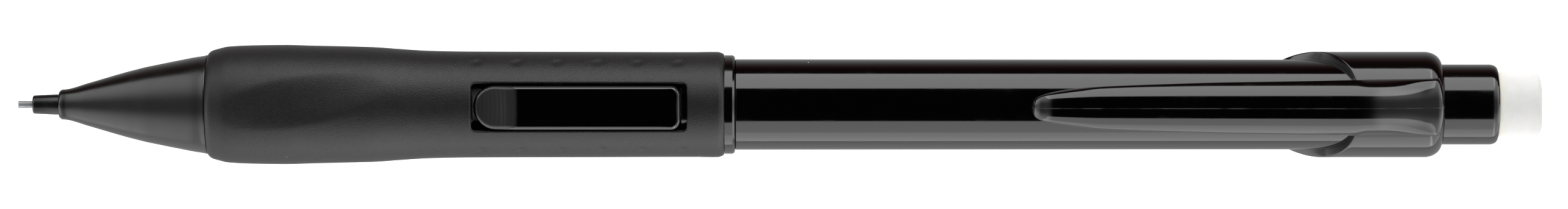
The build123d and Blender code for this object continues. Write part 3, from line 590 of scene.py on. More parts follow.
def grip_radius(x, angle):
    """The grip's radius at a station and an angle from the top, in millimetres and radians.

    It is the profile, less three hollows that turn with x (depth times (1 - d^2)^1.5, with d
    the distance from the hollow's middle over its reach), less two rows of dimples (depth
    times (1 - d^2)^2), and no more than reaches the desk.
    """
    sizes = bpy.context.scene.pencil_sizes
    g = x - GRIP_START
    profile = smooth_curve(GRIP_PROFILE, g)
    radius = profile
    for k in range(3):
        lean = math.radians(HOLLOW_ANGLE + 120 * k)
        middle = lean + math.radians(sizes.finger_twist) * (g - HOLLOW_AT)
        around = np.angle(np.exp(1j * (angle - middle))) * profile
        reach = np.where(g > HOLLOW_AT, HOLLOW_REAR, HOLLOW_FRONT)
        d2 = ((g - HOLLOW_AT) / reach) ** 2 + (around / HOLLOW_HALF_WIDTH) ** 2
        radius = radius - sizes.finger_depth * np.clip(1 - d2, 0, None) ** 1.5
    for row_angle, first, size in DIMPLE_ROWS:
        around = np.angle(np.exp(1j * (angle - math.radians(row_angle)))) * profile
        for i in range(sizes.dimple_count):
            along = g - (first + DIMPLE_PITCH * i)
            across = around - DIMPLE_SLANT * along
            d2 = (along / DIMPLE_STRETCH) ** 2 + across ** 2
            d2 = d2 / (size * sizes.dimple_radius) ** 2
            radius = radius - sizes.dimple_depth * np.clip(1 - d2, 0, None) ** 2
    below = -np.cos(angle)
    desk = np.where(below > DESK_SIDE, AXIS_HEIGHT / np.clip(below, DESK_SIDE, None), 99.0)
    return soft_min(radius, desk, DESK_BLEND)


def window_rings(x_lines, a_lines, x0, x1, half):
    """Rings of points from a rectangle of grid lines in to the button window's edge.

    The outer ring, which the grid already has, follows the grid's own points. The inner one
    is the window's rounded rectangle. Rings between them are weighted means, and then the
    wall follows the window's edge down to the bore, over a quarter circle at the top.
    """
    rim = bpy.context.scene.pencil_sizes.window_edge
    outer = np.array(
        [(x, a_lines[-1]) for x in x_lines] + [(x_lines[-1], a) for a in a_lines[-2::-1]]
        + [(x, a_lines[0]) for x in x_lines[-2::-1]] + [(x_lines[0], a) for a in a_lines[1:-1]])
    flat = np.stack([outer[:, 0], np.sin(outer[:, 1]) * WINDOW_RADIUS], -1)
    middle = np.array([(x0 + x1) / 2, 0])
    outer_middle = np.array([(x_lines[-1] + x_lines[0]) / 2, 0])
    outer_reach = np.array([(x_lines[-1] - x_lines[0]) / 2, np.abs(flat[:, 1]).max()])
    reach = np.array([(x1 - x0) / 2, half])
    unit = np.clip((flat - outer_middle) / outer_reach, -1, 1)
    core = reach - WINDOW_CORNER
    near = np.clip(unit * reach, -core, core)
    away = unit * reach - near
    length = np.linalg.norm(away, axis=1, keepdims=True)
    in_corner = (np.abs(away) > 1e-9).all(1, keepdims=True)
    away = np.where(in_corner, away / np.where(length > 0, length, 1) * WINDOW_CORNER, away)
    edge = middle + near + away
    on_side = np.abs(unit[:, 1:]) > 0.9999
    straight = np.where(on_side, np.sign(unit) * [0, 1], np.sign(unit) * [1, 0])
    outward = np.where(in_corner, away / WINDOW_CORNER, straight)
    start = edge + outward * rim
    flat_rings = [(flat * (1 - k) + start * k, 0.0) for k in np.linspace(0, 1, 9)[1:-1]]
    bends = np.linspace(0, np.pi / 2, 6)
    rim_rings = [(edge + outward * rim * (1 - np.sin(b)), rim * (1 - np.cos(b))) for b in bends]
    rings = []
    for place, drop in flat_rings + rim_rings:
        x, y = place.T
        r = grip_radius(x, np.arcsin(y / WINDOW_RADIUS)) - drop
        y = y * r / WINDOW_RADIUS
        rings.append(np.stack([x, y, np.sqrt(np.maximum(r * r - y * y, 0))], -1))
    last = rings[-1]
    wall_z = np.sqrt(GRIP_BORE ** 2 - last[:, 1] ** 2)
    for k in (0.5, 1.0):
        rings.append(np.column_stack([last[:, :2], last[:, 2] * (1 - k) + wall_z * k]))
    return np.array(rings)


def grip_mesh():
    """The grip: outer surface, bore and two ends as one closed surface with the window."""
    x_button, x_button_end = span("side_button")
    x0, x1 = x_button - WINDOW_FRONT, x_button_end + WINDOW_REAR
    half = BUTTON_HALF + WINDOW_SIDE
    across, along = WINDOW_LINES_ACROSS, WINDOW_LINES_ALONG
    x_front, x_rear = x0 - WINDOW_MARGIN, x1 + WINDOW_MARGIN
    front_edge = np.linspace(0, 1, GRIP_LINES["front edge"]) ** 1.7 * 2.0
    front = np.linspace(2.2, x_front - GRIP_START, GRIP_LINES["front"])
    over_window = np.linspace(x_front, x_rear, along)
    rear = np.linspace(x_rear - GRIP_START, GRIP_LENGTH - 1.5, GRIP_LINES["rear"])
    rear_edge = GRIP_LENGTH - np.linspace(1, 0, GRIP_LINES["rear edge"]) ** 1.7 * 1.4
    x_lines = np.concatenate([front_edge + GRIP_START, front + GRIP_START, over_window[1:-1],
                              rear + GRIP_START, rear_edge + GRIP_START])
    a_edge = np.arcsin((half + WINDOW_MARGIN) / WINDOW_RADIUS)
    a_top = np.linspace(-a_edge, a_edge, across)
    a_rest = np.linspace(a_edge, 2 * np.pi - a_edge, GRIP_LINES["around"])[1:-1]
    a_lines = np.concatenate([a_top, a_rest])
    rows, columns = len(x_lines), len(a_lines)
    x, a = np.meshgrid(x_lines, a_lines, indexing="ij")

    def around(r):
        return np.stack([x, r * np.sin(a), r * np.cos(a)], -1).reshape(-1, 3)

    # the outer surface and the bore, both without the faces over the window
    i0 = len(front_edge) + len(front) - 1
    i1 = i0 + along - 1
    faces = grid_faces(rows, columns)
    face_row, face_column = np.divmod(np.arange(len(faces)), columns)
    hole = (face_row >= i0) & (face_row < i1) & (face_column < across - 1)
    faces = faces[~hole]
    outer = around(grip_radius(x, a))
    bore = around(GRIP_BORE)

    # the rings inside the hole, joined to both surfaces along its border
    rings = window_rings(x_lines[i0:i1 + 1], a_top, x0, x1, half)
    border = np.concatenate([
        np.arange(i0, i1 + 1) * columns + across - 1,
        i1 * columns + np.arange(across - 2, -1, -1),
        np.arange(i1 - 1, i0 - 1, -1) * columns,
        i0 * columns + np.arange(1, across - 1)])
    bore_start = len(outer) + rings.shape[0] * rings.shape[1]
    inside = len(outer) + np.arange(bore_start - len(outer)).reshape(rings.shape[:2])
    loops = np.vstack([border[None], inside, border[None] + bore_start])
    wall = [strip(a, b)[:, ::-1] for a, b in zip(loops[:-1], loops[1:])]

    # the two ends
    front_loop = np.arange(columns)
    rear_loop = front_loop + (rows - 1) * columns
    front_end = strip(front_loop, front_loop + bore_start)
    rear_end = strip(rear_loop + bore_start, rear_loop)
    points = np.vstack([outer, rings.reshape(-1, 3), bore])
    bore_faces = faces[:, ::-1] + bore_start
    return points, np.vstack([faces, *wall, bore_faces, front_end, rear_end])


class PENCIL_OT_add_grip(bpy.types.Operator):
    """Adds the rubber grip with its finger hollows, dimples and button window"""

    bl_idname = "pencil.add_grip"
    bl_label = "Grip"

    def execute(self, context):
        points, faces = grip_mesh()
        piece = add_piece("soft_grip", points, faces, "barrel", "grip_sleeve",
                          sharp=50.0)
        paint(piece, grip_rubber())
        return {"FINISHED"}


# ------------------------------------------------------------------ point and nose
LEAD_RUB_REACH = 0.12    # how far the writing end is rubbed down
LEAD_RUB_SLANT = 0.10
SLEEVE_TIP_RADIUS = 0.90
SLEEVE_RADIUS = 1.02
SLEEVE_FOOT_RADIUS = 1.30
SLEEVE_FOOT = 2.2        # where the sleeve's foot starts behind the nose's tip
NOSE_BORES = [   # distance behind the nose's tip where each bore starts, radius
    (10.9, 3.52), (10.1, 3.12), (8.95, 2.52), (5.75, 1.92), (2.2, 1.35), (0.0, 1.07),
]


class PENCIL_OT_add_point(bpy.types.Operator):
    """Adds the lead, the sliding point and the nose cone"""

    bl_idname = "pencil.add_point"
    bl_label = "Point and nose"

    def execute(self, context):
        colour = tuple(context.scene.pencil_colours.nose)
        x0, x1 = span("lead")
        lead = [(x0, 0), (x0, LEAD_RADIUS), (x1, LEAD_RADIUS), (x1, 0)]
        points, faces = turned_surface(rounded(lead, (0, 0.09, 0.04, 0)), 48)
        # the writing end is rubbed to a slight slant
        x = points[:, 0]
        slant = np.where(x < x0 + LEAD_RUB_REACH, LEAD_RUB_SLANT * points[:, 2], 0)
        points[:, 0] = np.maximum(x + slant, x0)
        piece = add_piece("lead_stick", points, faces, "lead", "lead", weld=True)
        paint(piece, graphite())

        s0, s1 = span("lead_sleeve")
        n0, n1 = span("nose_cone")
        bore = LEAD_RADIUS + 0.02
        foot = n0 + SLEEVE_FOOT
        sleeve = [(s0, bore), (s0, SLEEVE_TIP_RADIUS), (n0, SLEEVE_RADIUS),
                  (foot, SLEEVE_RADIUS), (foot, SLEEVE_FOOT_RADIUS), (s1, SLEEVE_FOOT_RADIUS),
                  (s1, bore)]
        radii = (0.04, 0.2, 0, 0.05, 0.1, 0.1, 0.04)
        points, faces = turned_surface(rounded(sleeve, radii), 96)
        piece = add_piece("sliding_point", points, faces, "point", "lead_sleeve")
        paint(piece, gloss_plastic("point_gloss", colour, 0.22, haze=0.1, dust=0.0))

        points, faces = turned_surface(nose_outline(n0, n1), 256)
        piece = add_piece("nose_shell", points, faces, "barrel", "nose_cone")
        paint(piece, gloss_plastic("nose_gloss", colour, 0.23, haze=0.06, dust=0.02))
        return {"FINISHED"}


def nose_outline(n0, n1):
    """The nose's outline: a 16 degree cone that eases to 11 degrees, and stepped bores."""
    length = n1 - n0
    knots = [(0.0, 1.22), (0.1, 1.36), (0.3, 1.47), (0.78, 1.52), (2.8, 2.10), (6.78, 3.252),
             (7.4, 3.41), (8.6, 3.71), (9.8, 3.955), (11.0, 4.20), (12.2, 4.435), (13.4, 4.665),
             (14.3, 4.80), (length - 0.1, 4.87), (length, 4.80)]
    g = np.concatenate([np.linspace(0, 0.78, 12), np.linspace(0.9, length - 0.4, 64),
                        np.linspace(length - 0.3, length, 7)])
    shell = np.stack([n0 + g, smooth_curve(knots, g)], -1)
    inside = []
    x = n1
    for start, radius in NOSE_BORES:
        inside += [(x, radius), (n0 + start, radius)]
        x = n0 + start
    return np.vstack([shell, inside])


# ------------------------------------------------------------------ button
BUTTON_CORNER = 0.9      # radius of the button's two rear corners
BUTTON_FLOOR = 3.1       # height of its underside over the pencil's axis


def button_mesh():
    """The button: a plan outline swept down its walls and in over its rounded edge.

    The outline has a half-round front and small rear corners. Each ring is the outline drawn
    in towards the nearest point of the button's middle line. Heights follow the ramp, a
    slight crown and a quarter circle at the edge. The first ring closes the underside.
    """
    edge = bpy.context.scene.pencil_sizes.button_edge
    x0, x1 = span("side_button")
    half, corner = BUTTON_HALF, BUTTON_CORNER
    turns = np.linspace(np.pi / 2, 3 * np.pi / 2, 49)
    front = np.stack([x0 + half + half * np.cos(turns), half * np.sin(turns)], -1)
    side = np.linspace(x0 + half, x1 - corner, 60)[1:-1]
    bends = np.linspace(0, np.pi / 2, 11)
    rear_corner = np.stack([x1 - corner + corner * np.sin(bends),
                            -half + corner - corner * np.cos(bends)], -1)
    rear = np.linspace(-half + corner, half - corner, 13)[1:-1]
    outline = np.vstack([
        front,
        np.stack([side, np.full_like(side, -half)], -1),
        rear_corner,
        np.stack([np.full_like(rear, x1), rear], -1),
        rear_corner[::-1] * [1, -1],
        np.stack([side, np.full_like(side, half)], -1)[::-1]])
    spine = np.column_stack([np.clip(outline[:, 0], x0 + half, x1 - half),
                             np.zeros(len(outline))])
    to_spine = spine - outline
    distance = np.linalg.norm(to_spine, axis=1, keepdims=True)
    bends = np.linspace(0, np.pi / 2, 9)
    over_top = np.linspace(edge, half, 18)[1:]
    insets = np.concatenate([edge * (1 - np.cos(bends)), over_top])
    drops = np.concatenate([edge * (1 - np.sin(bends)), np.zeros(len(over_top))])
    places = [outline + to_spine * np.minimum(inset / distance, 1.0) for inset in insets[:-1]]
    floor = np.full(len(outline), BUTTON_FLOOR)
    rings = [np.column_stack([spine, floor]), np.column_stack([outline, floor])]
    for place, drop in zip(places + [spine], drops):
        x, y = place.T
        rings.append(np.column_stack([x, y, button_top(x - x0, y) - drop]))
    return np.vstack(rings), grid_faces(len(rings), len(outline))


def button_top(g, y):
    """Height of the button's top at a distance behind its front: a ramp, then a flat crest."""
    drops = [(0.0, 1.28), (1.2, 0.98), (2.6, 0.50), (3.7, 0.12), (4.6, 0), (25.0, 0)]
    knots = [(at, BUTTON_CREST - drop) for at, drop in drops]
    hollow = 0.10 * np.exp(-((g - 2.0) / 1.5) ** 2) * (1 - (y / BUTTON_HALF) ** 2)
    return smooth_curve(knots, g) - 0.012 * y * y - hollow


def button_gloss():
    """The button's gloss, with fine curved lines moulded into the thumb ramp."""
    colours = bpy.context.scene.pencil_colours
    material = gloss_plastic("button_gloss", tuple(colours.barrel), 0.06, haze=0.03, dust=0.02)
    tree = material.node_tree
    bsdf = tree.nodes["Principled BSDF"]
    x_front = span("side_button")[0] * MM
    centre = placed(tree, "ShaderNodeMapping", Location=(-(x_front - 0.0035), 0, 0))
    squash = put(tree, "ShaderNodeMapping", Scale=(1, 0.55, 0))
    rings = put(tree, "ShaderNodeTexWave", wave_type="RINGS", rings_direction="SPHERICAL",
                Scale=760.0, Distortion=1.2, Detail=1.0)
    split = placed(tree, "ShaderNodeSeparateXYZ")
    tree.links.new(centre.outputs[0], squash.inputs[0])
    tree.links.new(squash.outputs[0], rings.inputs[0])
    on_ramp = ramp(tree, split.outputs[0], x_front + 0.0032, x_front + 0.0042, 1.0, 0.0)
    lines = maths(tree, "MULTIPLY", rings.outputs["Fac"], on_ramp)
    bump = put(tree, "ShaderNodeBump", Strength=0.6, Distance=0.00001)
    tree.links.new(lines, bump.inputs["Height"])
    first = bsdf.inputs["Normal"].links[0].from_node
    tree.links.new(first.outputs[0], bump.inputs["Normal"])
    tree.links.new(bump.outputs[0], bsdf.inputs["Normal"])
    rough = bsdf.inputs["Roughness"].links[0].from_socket
    tree.links.new(maths(tree, "MULTIPLY_ADD", on_ramp, 0.16, rough), bsdf.inputs["Roughness"])
    return material


class PENCIL_OT_add_button(bpy.types.Operator):
    """Adds the glossy push button"""

    bl_idname = "pencil.add_button"
    bl_label = "Push button"

    def execute(self, context):
        points, faces = button_mesh()
        piece = add_piece("push_button", points, faces, "button", "side_button",
                          weld=True)
        paint(piece, button_gloss())
        return {"FINISHED"}


# ------------------------------------------------------------------ barrel
BARREL_BORE = 3.80
BARREL_TAPER = 0.04


class PENCIL_OT_add_barrel(bpy.types.Operator):
    """Adds the glossy rear barrel and finishes the front barrel's collar"""

    bl_idname = "pencil.add_barrel"
    bl_label = "Barrel"

    def execute(self, context):
        x0, x1 = span("rear_barrel")
        rear = BARREL_RADIUS - BARREL_TAPER
        outline = [(x0, BARREL_BORE), (x0, BARREL_RADIUS), (x1, rear), (x1, BARREL_BORE)]
        points, faces = turned_surface(rounded(outline, (0.03, 0.1, 0.05, 0.03), support=0.3), 256)
        piece = add_piece("barrel_tube", points, faces, "barrel", "rear_barrel")
        paint(piece, barrel_gloss())
        colour = tuple(context.scene.pencil_colours.barrel)
        core = gloss_plastic("core_gloss", colour, 0.1, haze=0.06, dust=0.02)
        paint(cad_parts["front_barrel"], core)
        return {"FINISHED"}


# ------------------------------------------------------------------ cap and clip
def cap_gloss():
    """The cap's gloss, with a thin painted highlight along the clip's crest, where the mould's
    parting line runs.
    """
    colour = tuple(bpy.context.scene.pencil_colours.barrel)
    material = gloss_plastic("cap_gloss", colour, 0.085, haze=0.05, dust=0.035)
    tree = material.node_tree
    bsdf = tree.nodes["Principled BSDF"]
    split = placed(tree, "ShaderNodeSeparateXYZ")
    # painted highlight: a thin paler line down the middle of the clip's top, where the parting line
    # runs, broken up by noise
    off_middle = maths(tree, "ABSOLUTE", split.outputs[1])
    line = ramp(tree, off_middle, 0.00002, 0.00006, 1.0, 0.0)
    on_clip = maths(tree, "GREATER_THAN", split.outputs[2], (AXIS_HEIGHT + CAP_RADIUS) * MM)
    broken = placed(tree, "ShaderNodeTexNoise", Scale=420.0, Detail=2.0)
    line = maths(tree, "MULTIPLY", maths(tree, "MULTIPLY", line, on_clip),
                 ramp(tree, broken.outputs[0], 0.35, 0.65, 0.25, 1.0))
    # the painted highlight's paler colour, and a rougher skin along it
    plain = bsdf.inputs["Base Color"].links[0].from_socket
    tree.links.new(mix_colours(tree, line, plain, (0.03, 0.03, 0.031)), bsdf.inputs["Base Color"])
    rough = bsdf.inputs["Roughness"].links[0].from_socket
    tree.links.new(maths(tree, "MULTIPLY_ADD", line, 0.3, rough), bsdf.inputs["Roughness"])
    return material


CUT_BACK = 12.15         # from the cap's rear to its cut edge at the axis's height
CUT_SLOPE = 0.98
CUT_CURVE = 0.05
CAP_ROUND = 1.65
CAP_FLATTEN = 0.75       # the rear's ellipse: its height over its length
CAP_BORE = 4.44
CAP_HOLE = 3.76
CAP_FLOOR = 1.5


def cap_mesh():
    """The cap: rings between its slanting front edge and its rear, as one closed wall.

    The front edge is cut on a slant that curves a little: its station is a quadratic of the
    height, c + m z - n z^2. Each ring is that edge moved back a share of the way to the rear:
    over the rim, along the shell, over the rear's ellipse, and home along the bore.
    """
    rim = bpy.context.scene.pencil_sizes.cap_rim
    x_end = span("clip_cap")[1]
    x_floor = x_end - CAP_FLOOR
    straight = x_end - CAP_ROUND
    angle = np.linspace(0, 2 * np.pi, 320, endpoint=False)
    height = CAP_RADIUS * np.cos(angle)
    edge_x = x_end - CUT_BACK + CUT_SLOPE * height - CUT_CURVE * height ** 2

    def ring(x, radius):
        point = (x, radius * np.sin(angle), radius * np.cos(angle))
        return np.stack(np.broadcast_arrays(*point), -1)

    wall = CAP_RADIUS - rim - CAP_BORE
    rings = [ring(edge_x, CAP_BORE + k * wall) for k in (0, 0.5, 1)]
    for bend in np.linspace(0, np.pi / 2, 8)[1:]:
        radius = CAP_RADIUS - rim * (1 - np.sin(bend))
        rings.append(ring(edge_x + rim * (1 - np.cos(bend)), radius))
    start = edge_x + rim
    for k in np.linspace(0, 1, 30)[1:]:
        rings.append(ring(start + (straight - start) * k, CAP_RADIUS))
    for bend in np.linspace(0, np.pi / 2, 25)[1:]:
        drop = CAP_FLATTEN * CAP_ROUND * (1 - np.sqrt(1 - 0.9999 * np.sin(bend) ** 2))
        rings.append(ring(straight + CAP_ROUND * np.sin(bend), CAP_RADIUS - drop))
    rings += [ring(x_end, CAP_HOLE), ring(x_floor, CAP_HOLE), ring(x_floor, CAP_BORE)]
    for k in (0.75, 0.5, 0.25):
        rings.append(ring(edge_x + (x_floor - edge_x) * k, CAP_BORE))
    return np.vstack(rings), grid_faces(len(rings), len(angle), close_rows=True)


CLIP_LENGTH = span("clip_cap")[1] - span("clip_cap")[0]
CLIP_DROPS = [   # distance behind the clip's tip, how far its crest is below its highest
    (0, 1.45), (0.3, 1.0), (0.9, 0.58), (2.2, 0.30), (5, 0.18), (15, 0.1), (26, 0.02), (31, 0),
    (33.0, 0.08), (35.0, 0.33), (38.0, 0.85), (39.6, 1.17), (40.0, 1.34), (40.35, 1.75),
    (CLIP_LENGTH, 3.0),
]
CLIP_UNDERSIDE = [   # distance behind the tip, height over the pencil's axis
    (0, CLIP_CREST - 1.62), (1.0, CLIP_CREST - 2.0), (2.2, 4.74), (3.4, 4.60), (4.6, 4.78),
    (6.4, 5.42), (15, 5.5), (28, 5.6), (CLIP_LENGTH, 5.6),
]
CLIP_HALF_WIDTH = [
    (0, 0.05), (0.1, 0.55), (0.35, 0.93), (0.8, 1.18), (1.8, 1.47), (4.2, 1.86), (6.6, 2.08),
    (9.4, 2.21), (12.6, 2.32), (18.6, 2.49), (23.4, 2.56), (27.6, 2.63), (31.0, 2.70),
    (36.6, 2.74), (39.4, 2.80), (40.2, 2.84), (CLIP_LENGTH, 2.82),
]
CLIP_POWER = 0.42        # how square the section is: 1 is an ellipse, 0 a rectangle
CLIP_FLARE_FROM = 34.0   # behind here the crown flattens towards the root
CLIP_FLARE = 6.0
CLIP_BULGE = 0.45        # how far the root's middle stands behind its two sides
CLIP_BULGE_FROM = 36.0
CLIP_LANDS = (31.8, 32.8)    # where the underside passes into the cap's wall
CLIP_BURIED = 4.75


def clip_mesh():
    """The clip: a crowned section carried from its spoon tip to its root on the cap.

    At each station the section is |y / w|^n + |(z - e) / h|^n = 1 with n = 2 / CLIP_POWER. Its
    upper height h reaches the crown, an arc of radius r + f u^3 with u from 0 to 1 along the
    flare. Its lower height reaches the underside or, over the cap, a circle inside the wall.
    The last stretch bends back from the middle to the sides by a share of (y / w)^2.
    """
    sizes = bpy.context.scene.pencil_sizes
    x_tip = span("clip_cap")[0]
    length = CLIP_LENGTH
    g = np.concatenate([np.linspace(0, 1, 34) ** 2.2 * 7.0, np.linspace(7.3, length - 4, 80),
                        np.linspace(length - 3.9, length, 40)])
    crest = [(at, CLIP_CREST - drop) for at, drop in CLIP_DROPS]
    curves = (crest, CLIP_UNDERSIDE, CLIP_HALF_WIDTH)
    top, low, half = (smooth_curve(knots, g)[:, None] for knots in curves)
    t = np.linspace(0, 2 * np.pi, 112, endpoint=False)[None]
    across = half * np.sign(np.cos(t)) * np.abs(np.cos(t)) ** CLIP_POWER
    flare = np.clip((g - CLIP_FLARE_FROM) / (length - CLIP_FLARE_FROM), 0, 1)[:, None] ** 3
    crown_r = sizes.clip_crown + CLIP_FLARE * flare
    crown = top - (crown_r - np.sqrt(np.maximum(crown_r ** 2 - across ** 2, 0)))
    side_top = top - (crown_r - np.sqrt(crown_r ** 2 - half ** 2))
    on_cap = smooth_step(*CLIP_LANDS, g)[:, None]
    buried = np.sqrt(np.maximum(CLIP_BURIED ** 2 - across ** 2, 0))
    low = low * (1 - on_cap) + np.minimum(buried, crown - 0.05) * on_cap
    low = np.minimum(low, crown - 0.03)
    edge = (side_top + np.minimum(low, side_top - 0.02)) / 2
    rise = np.abs(np.sin(t)) ** CLIP_POWER
    z = np.where(np.sin(t) >= 0, edge + (crown - edge) * rise, edge - (edge - low) * rise)
    bend = smooth_step(CLIP_BULGE_FROM, length, g)[:, None]
    x = x_tip + g[:, None] - CLIP_BULGE * (across / half) ** 2 * bend
    rings = np.stack([x, np.broadcast_to(across, z.shape), z], -1)
    # one point more at each end closes it
    tip = np.broadcast_to(rings[0].mean(0), rings[:1].shape)
    root = np.broadcast_to(rings[-1].mean(0), rings[:1].shape)
    rings = np.concatenate([tip, rings, root])
    return rings.reshape(-1, 3), grid_faces(*rings.shape[:2])


class PENCIL_OT_add_cap(bpy.types.Operator):
    """Adds the cap and its clip, which are one moulding"""

    bl_idname = "pencil.add_cap"
    bl_label = "Cap and clip"

    def execute(self, context):
        cap_points, cap_faces = cap_mesh()
        cap = add_piece("cap_shell", cap_points, cap_faces, "barrel", "clip_cap")
        gloss = cap_gloss()
        paint(cap, gloss)
        points, faces = clip_mesh()
        clip = add_piece("pocket_clip", points, faces, "barrel", None, weld=True,
                         sharp=60.0)
        paint(clip, gloss)
        return {"FINISHED"}


# ------------------------------------------------------------------ eraser and works
ERASER_STEP = 0.32       # the hidden part in its carrier is this much smaller in radius
ERASER_WORN = 1.6        # how far from its end the block is worn
ERASER_WEAR = 0.05
ERASER_SCUFFS = ((0.035, 2, 0.7), (0.02, 5, 2.1))    # height, waves round the end, phase


class PENCIL_OT_add_eraser(bpy.types.Operator):
    """Adds the white eraser and finishes the knob round it"""

    bl_idname = "pencil.add_eraser"
    bl_label = "Eraser"

    def execute(self, context):
        sizes = context.scene.pencil_sizes
        x0, x1 = span("eraser")
        cup_end = span("eraser_carrier")[1]
        core = ERASER_RADIUS - ERASER_STEP
        outline = [(x0, 0), (x0, core), (cup_end, core), (cup_end, ERASER_RADIUS),
                   (x1 - 2.0, ERASER_RADIUS), (x1, ERASER_RADIUS), (x1, 0)]
        radii = (0, 0.1, 0, 0.05, 0, sizes.eraser_corner, 0)
        points, faces = turned_surface(rounded(outline, radii, steps=12), 144)
        x, y, z = points.T
        angle = np.arctan2(y, z)
        worn = smooth_step(x1 - ERASER_WORN, x1, x)
        scuff = sum(high * np.sin(n * angle + phase) for high, n, phase in ERASER_SCUFFS)
        scuff = scuff * np.hypot(y, z) / ERASER_RADIUS
        points[:, 0] = np.minimum(x - worn * (ERASER_WEAR + scuff), x1)
        piece = add_piece("eraser_block", points, faces, "eraser_slide", "eraser",
                          weld=True)
        paint(piece, eraser_vinyl())
        colour = tuple(context.scene.pencil_colours.barrel)
        knob = gloss_plastic("knob_gloss", colour, 0.1, haze=0.08, dust=0.03)
        paint(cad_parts["twist_knob"], knob)
        return {"FINISHED"}


class PENCIL_OT_finish_works(bpy.types.Operator):
    """Gives the pieces inside the pencil their finishes"""

    bl_idname = "pencil.finish_works"
    bl_label = "Works inside"

    def execute(self, context):
        brass = turned_metal("chuck_brass", (0.78, 0.58, 0.27), 0.22)
        steel = turned_metal("ring_steel", (0.62, 0.62, 0.64), 0.24)
        wire = turned_metal("spring_wire", (0.52, 0.52, 0.55), 0.3, rings_per_metre=2500.0)
        acetal = natural_plastic("white_acetal", (0.78, 0.78, 0.74))
        tube = natural_plastic("tube_plastic", (0.60, 0.62, 0.63), 0.25, cloud=0.05)
        grey = natural_plastic("guide_plastic", (0.10, 0.10, 0.11), 0.34)
        housing = gloss_plastic("housing_black", (0.02, 0.02, 0.02), 0.3, haze=0.1, dust=0.0)
        rubber = bpy.data.materials["grip_rubber"]
        finishes = {
            "chuck": brass, "clutch_ring": steel, "return_spring": wire, "slide_cam": acetal,
            "eraser_carrier": acetal, "knob_retainer": acetal, "lead_tube": tube,
            "spiral_guide": grey, "chuck_housing": housing, "guide_ring": rubber,
            "lead_retainer": rubber, "spare_leads": bpy.data.materials["graphite"],
        }
        for node, material in finishes.items():
            paint(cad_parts[node], material)
        return {"FINISHED"}


# ------------------------------------------------------------------ stage
PANEL_DISTANCE = 0.42
PANEL_START = -0.14      # each panel's two ends along the pencil
PANEL_END = 0.24
PANELS = [   # name, least and greatest angle from straight up, side, share of the setting
    ("far_panel", 44.7, 88, 1, 1.0),
    ("near_high_panel", 39.7, 73, -1, 0.64),
    ("near_low_panel", 73, 104.4, -1, 0.83),
]
FILLS = [
    ("far_fill", 40, 90, 1, 1.0),
    ("near_fill", 40, 90, -1, 1.0),
    ("top_fill", -40, 40, 1, 0.58),
]
SIDE_GLOW = 4.6          # how much more the room past the ends shines at the sides
REAR_GLOW = 2.6          # straight past the rear, over the room's end brightness
POINT_GLOW = 1.4
WARM = (1.0, 0.42, 0.38)     # colour of the far side under the horizon


def add_panel_light(name, zenith_low, zenith_high, side, radiance, glossy=True):
    """A light panel over the pencil, which fills a band of angles from straight up.

    A glossy panel is seen in reflections only; any other lights matte surfaces only. Its power
    is radiance times area times pi, because an area light shines evenly by cosine.
    """
    distance, start, end = PANEL_DISTANCE, PANEL_START, PANEL_END
    middle = math.radians((zenith_low + zenith_high) / 2)
    height = 2 * distance * math.tan(math.radians(zenith_high - zenith_low) / 2)
    light = bpy.data.lights.new(name, "AREA")
    light.shape = "RECTANGLE"
    light.size = end - start
    light.size_y = height
    light.energy = radiance * light.size * height * math.pi
    panel = bpy.data.objects.new(name, light)
    up = AXIS_HEIGHT * MM
    panel.location = ((start + end) / 2, side * distance * math.sin(middle),
                      up + distance * math.cos(middle))
    panel.rotation_euler = (-side * middle, 0, 0)
    panel.visible_camera = False
    panel.visible_diffuse = not glossy
    panel.visible_glossy = glossy
    bpy.context.scene.collection.objects.link(panel)


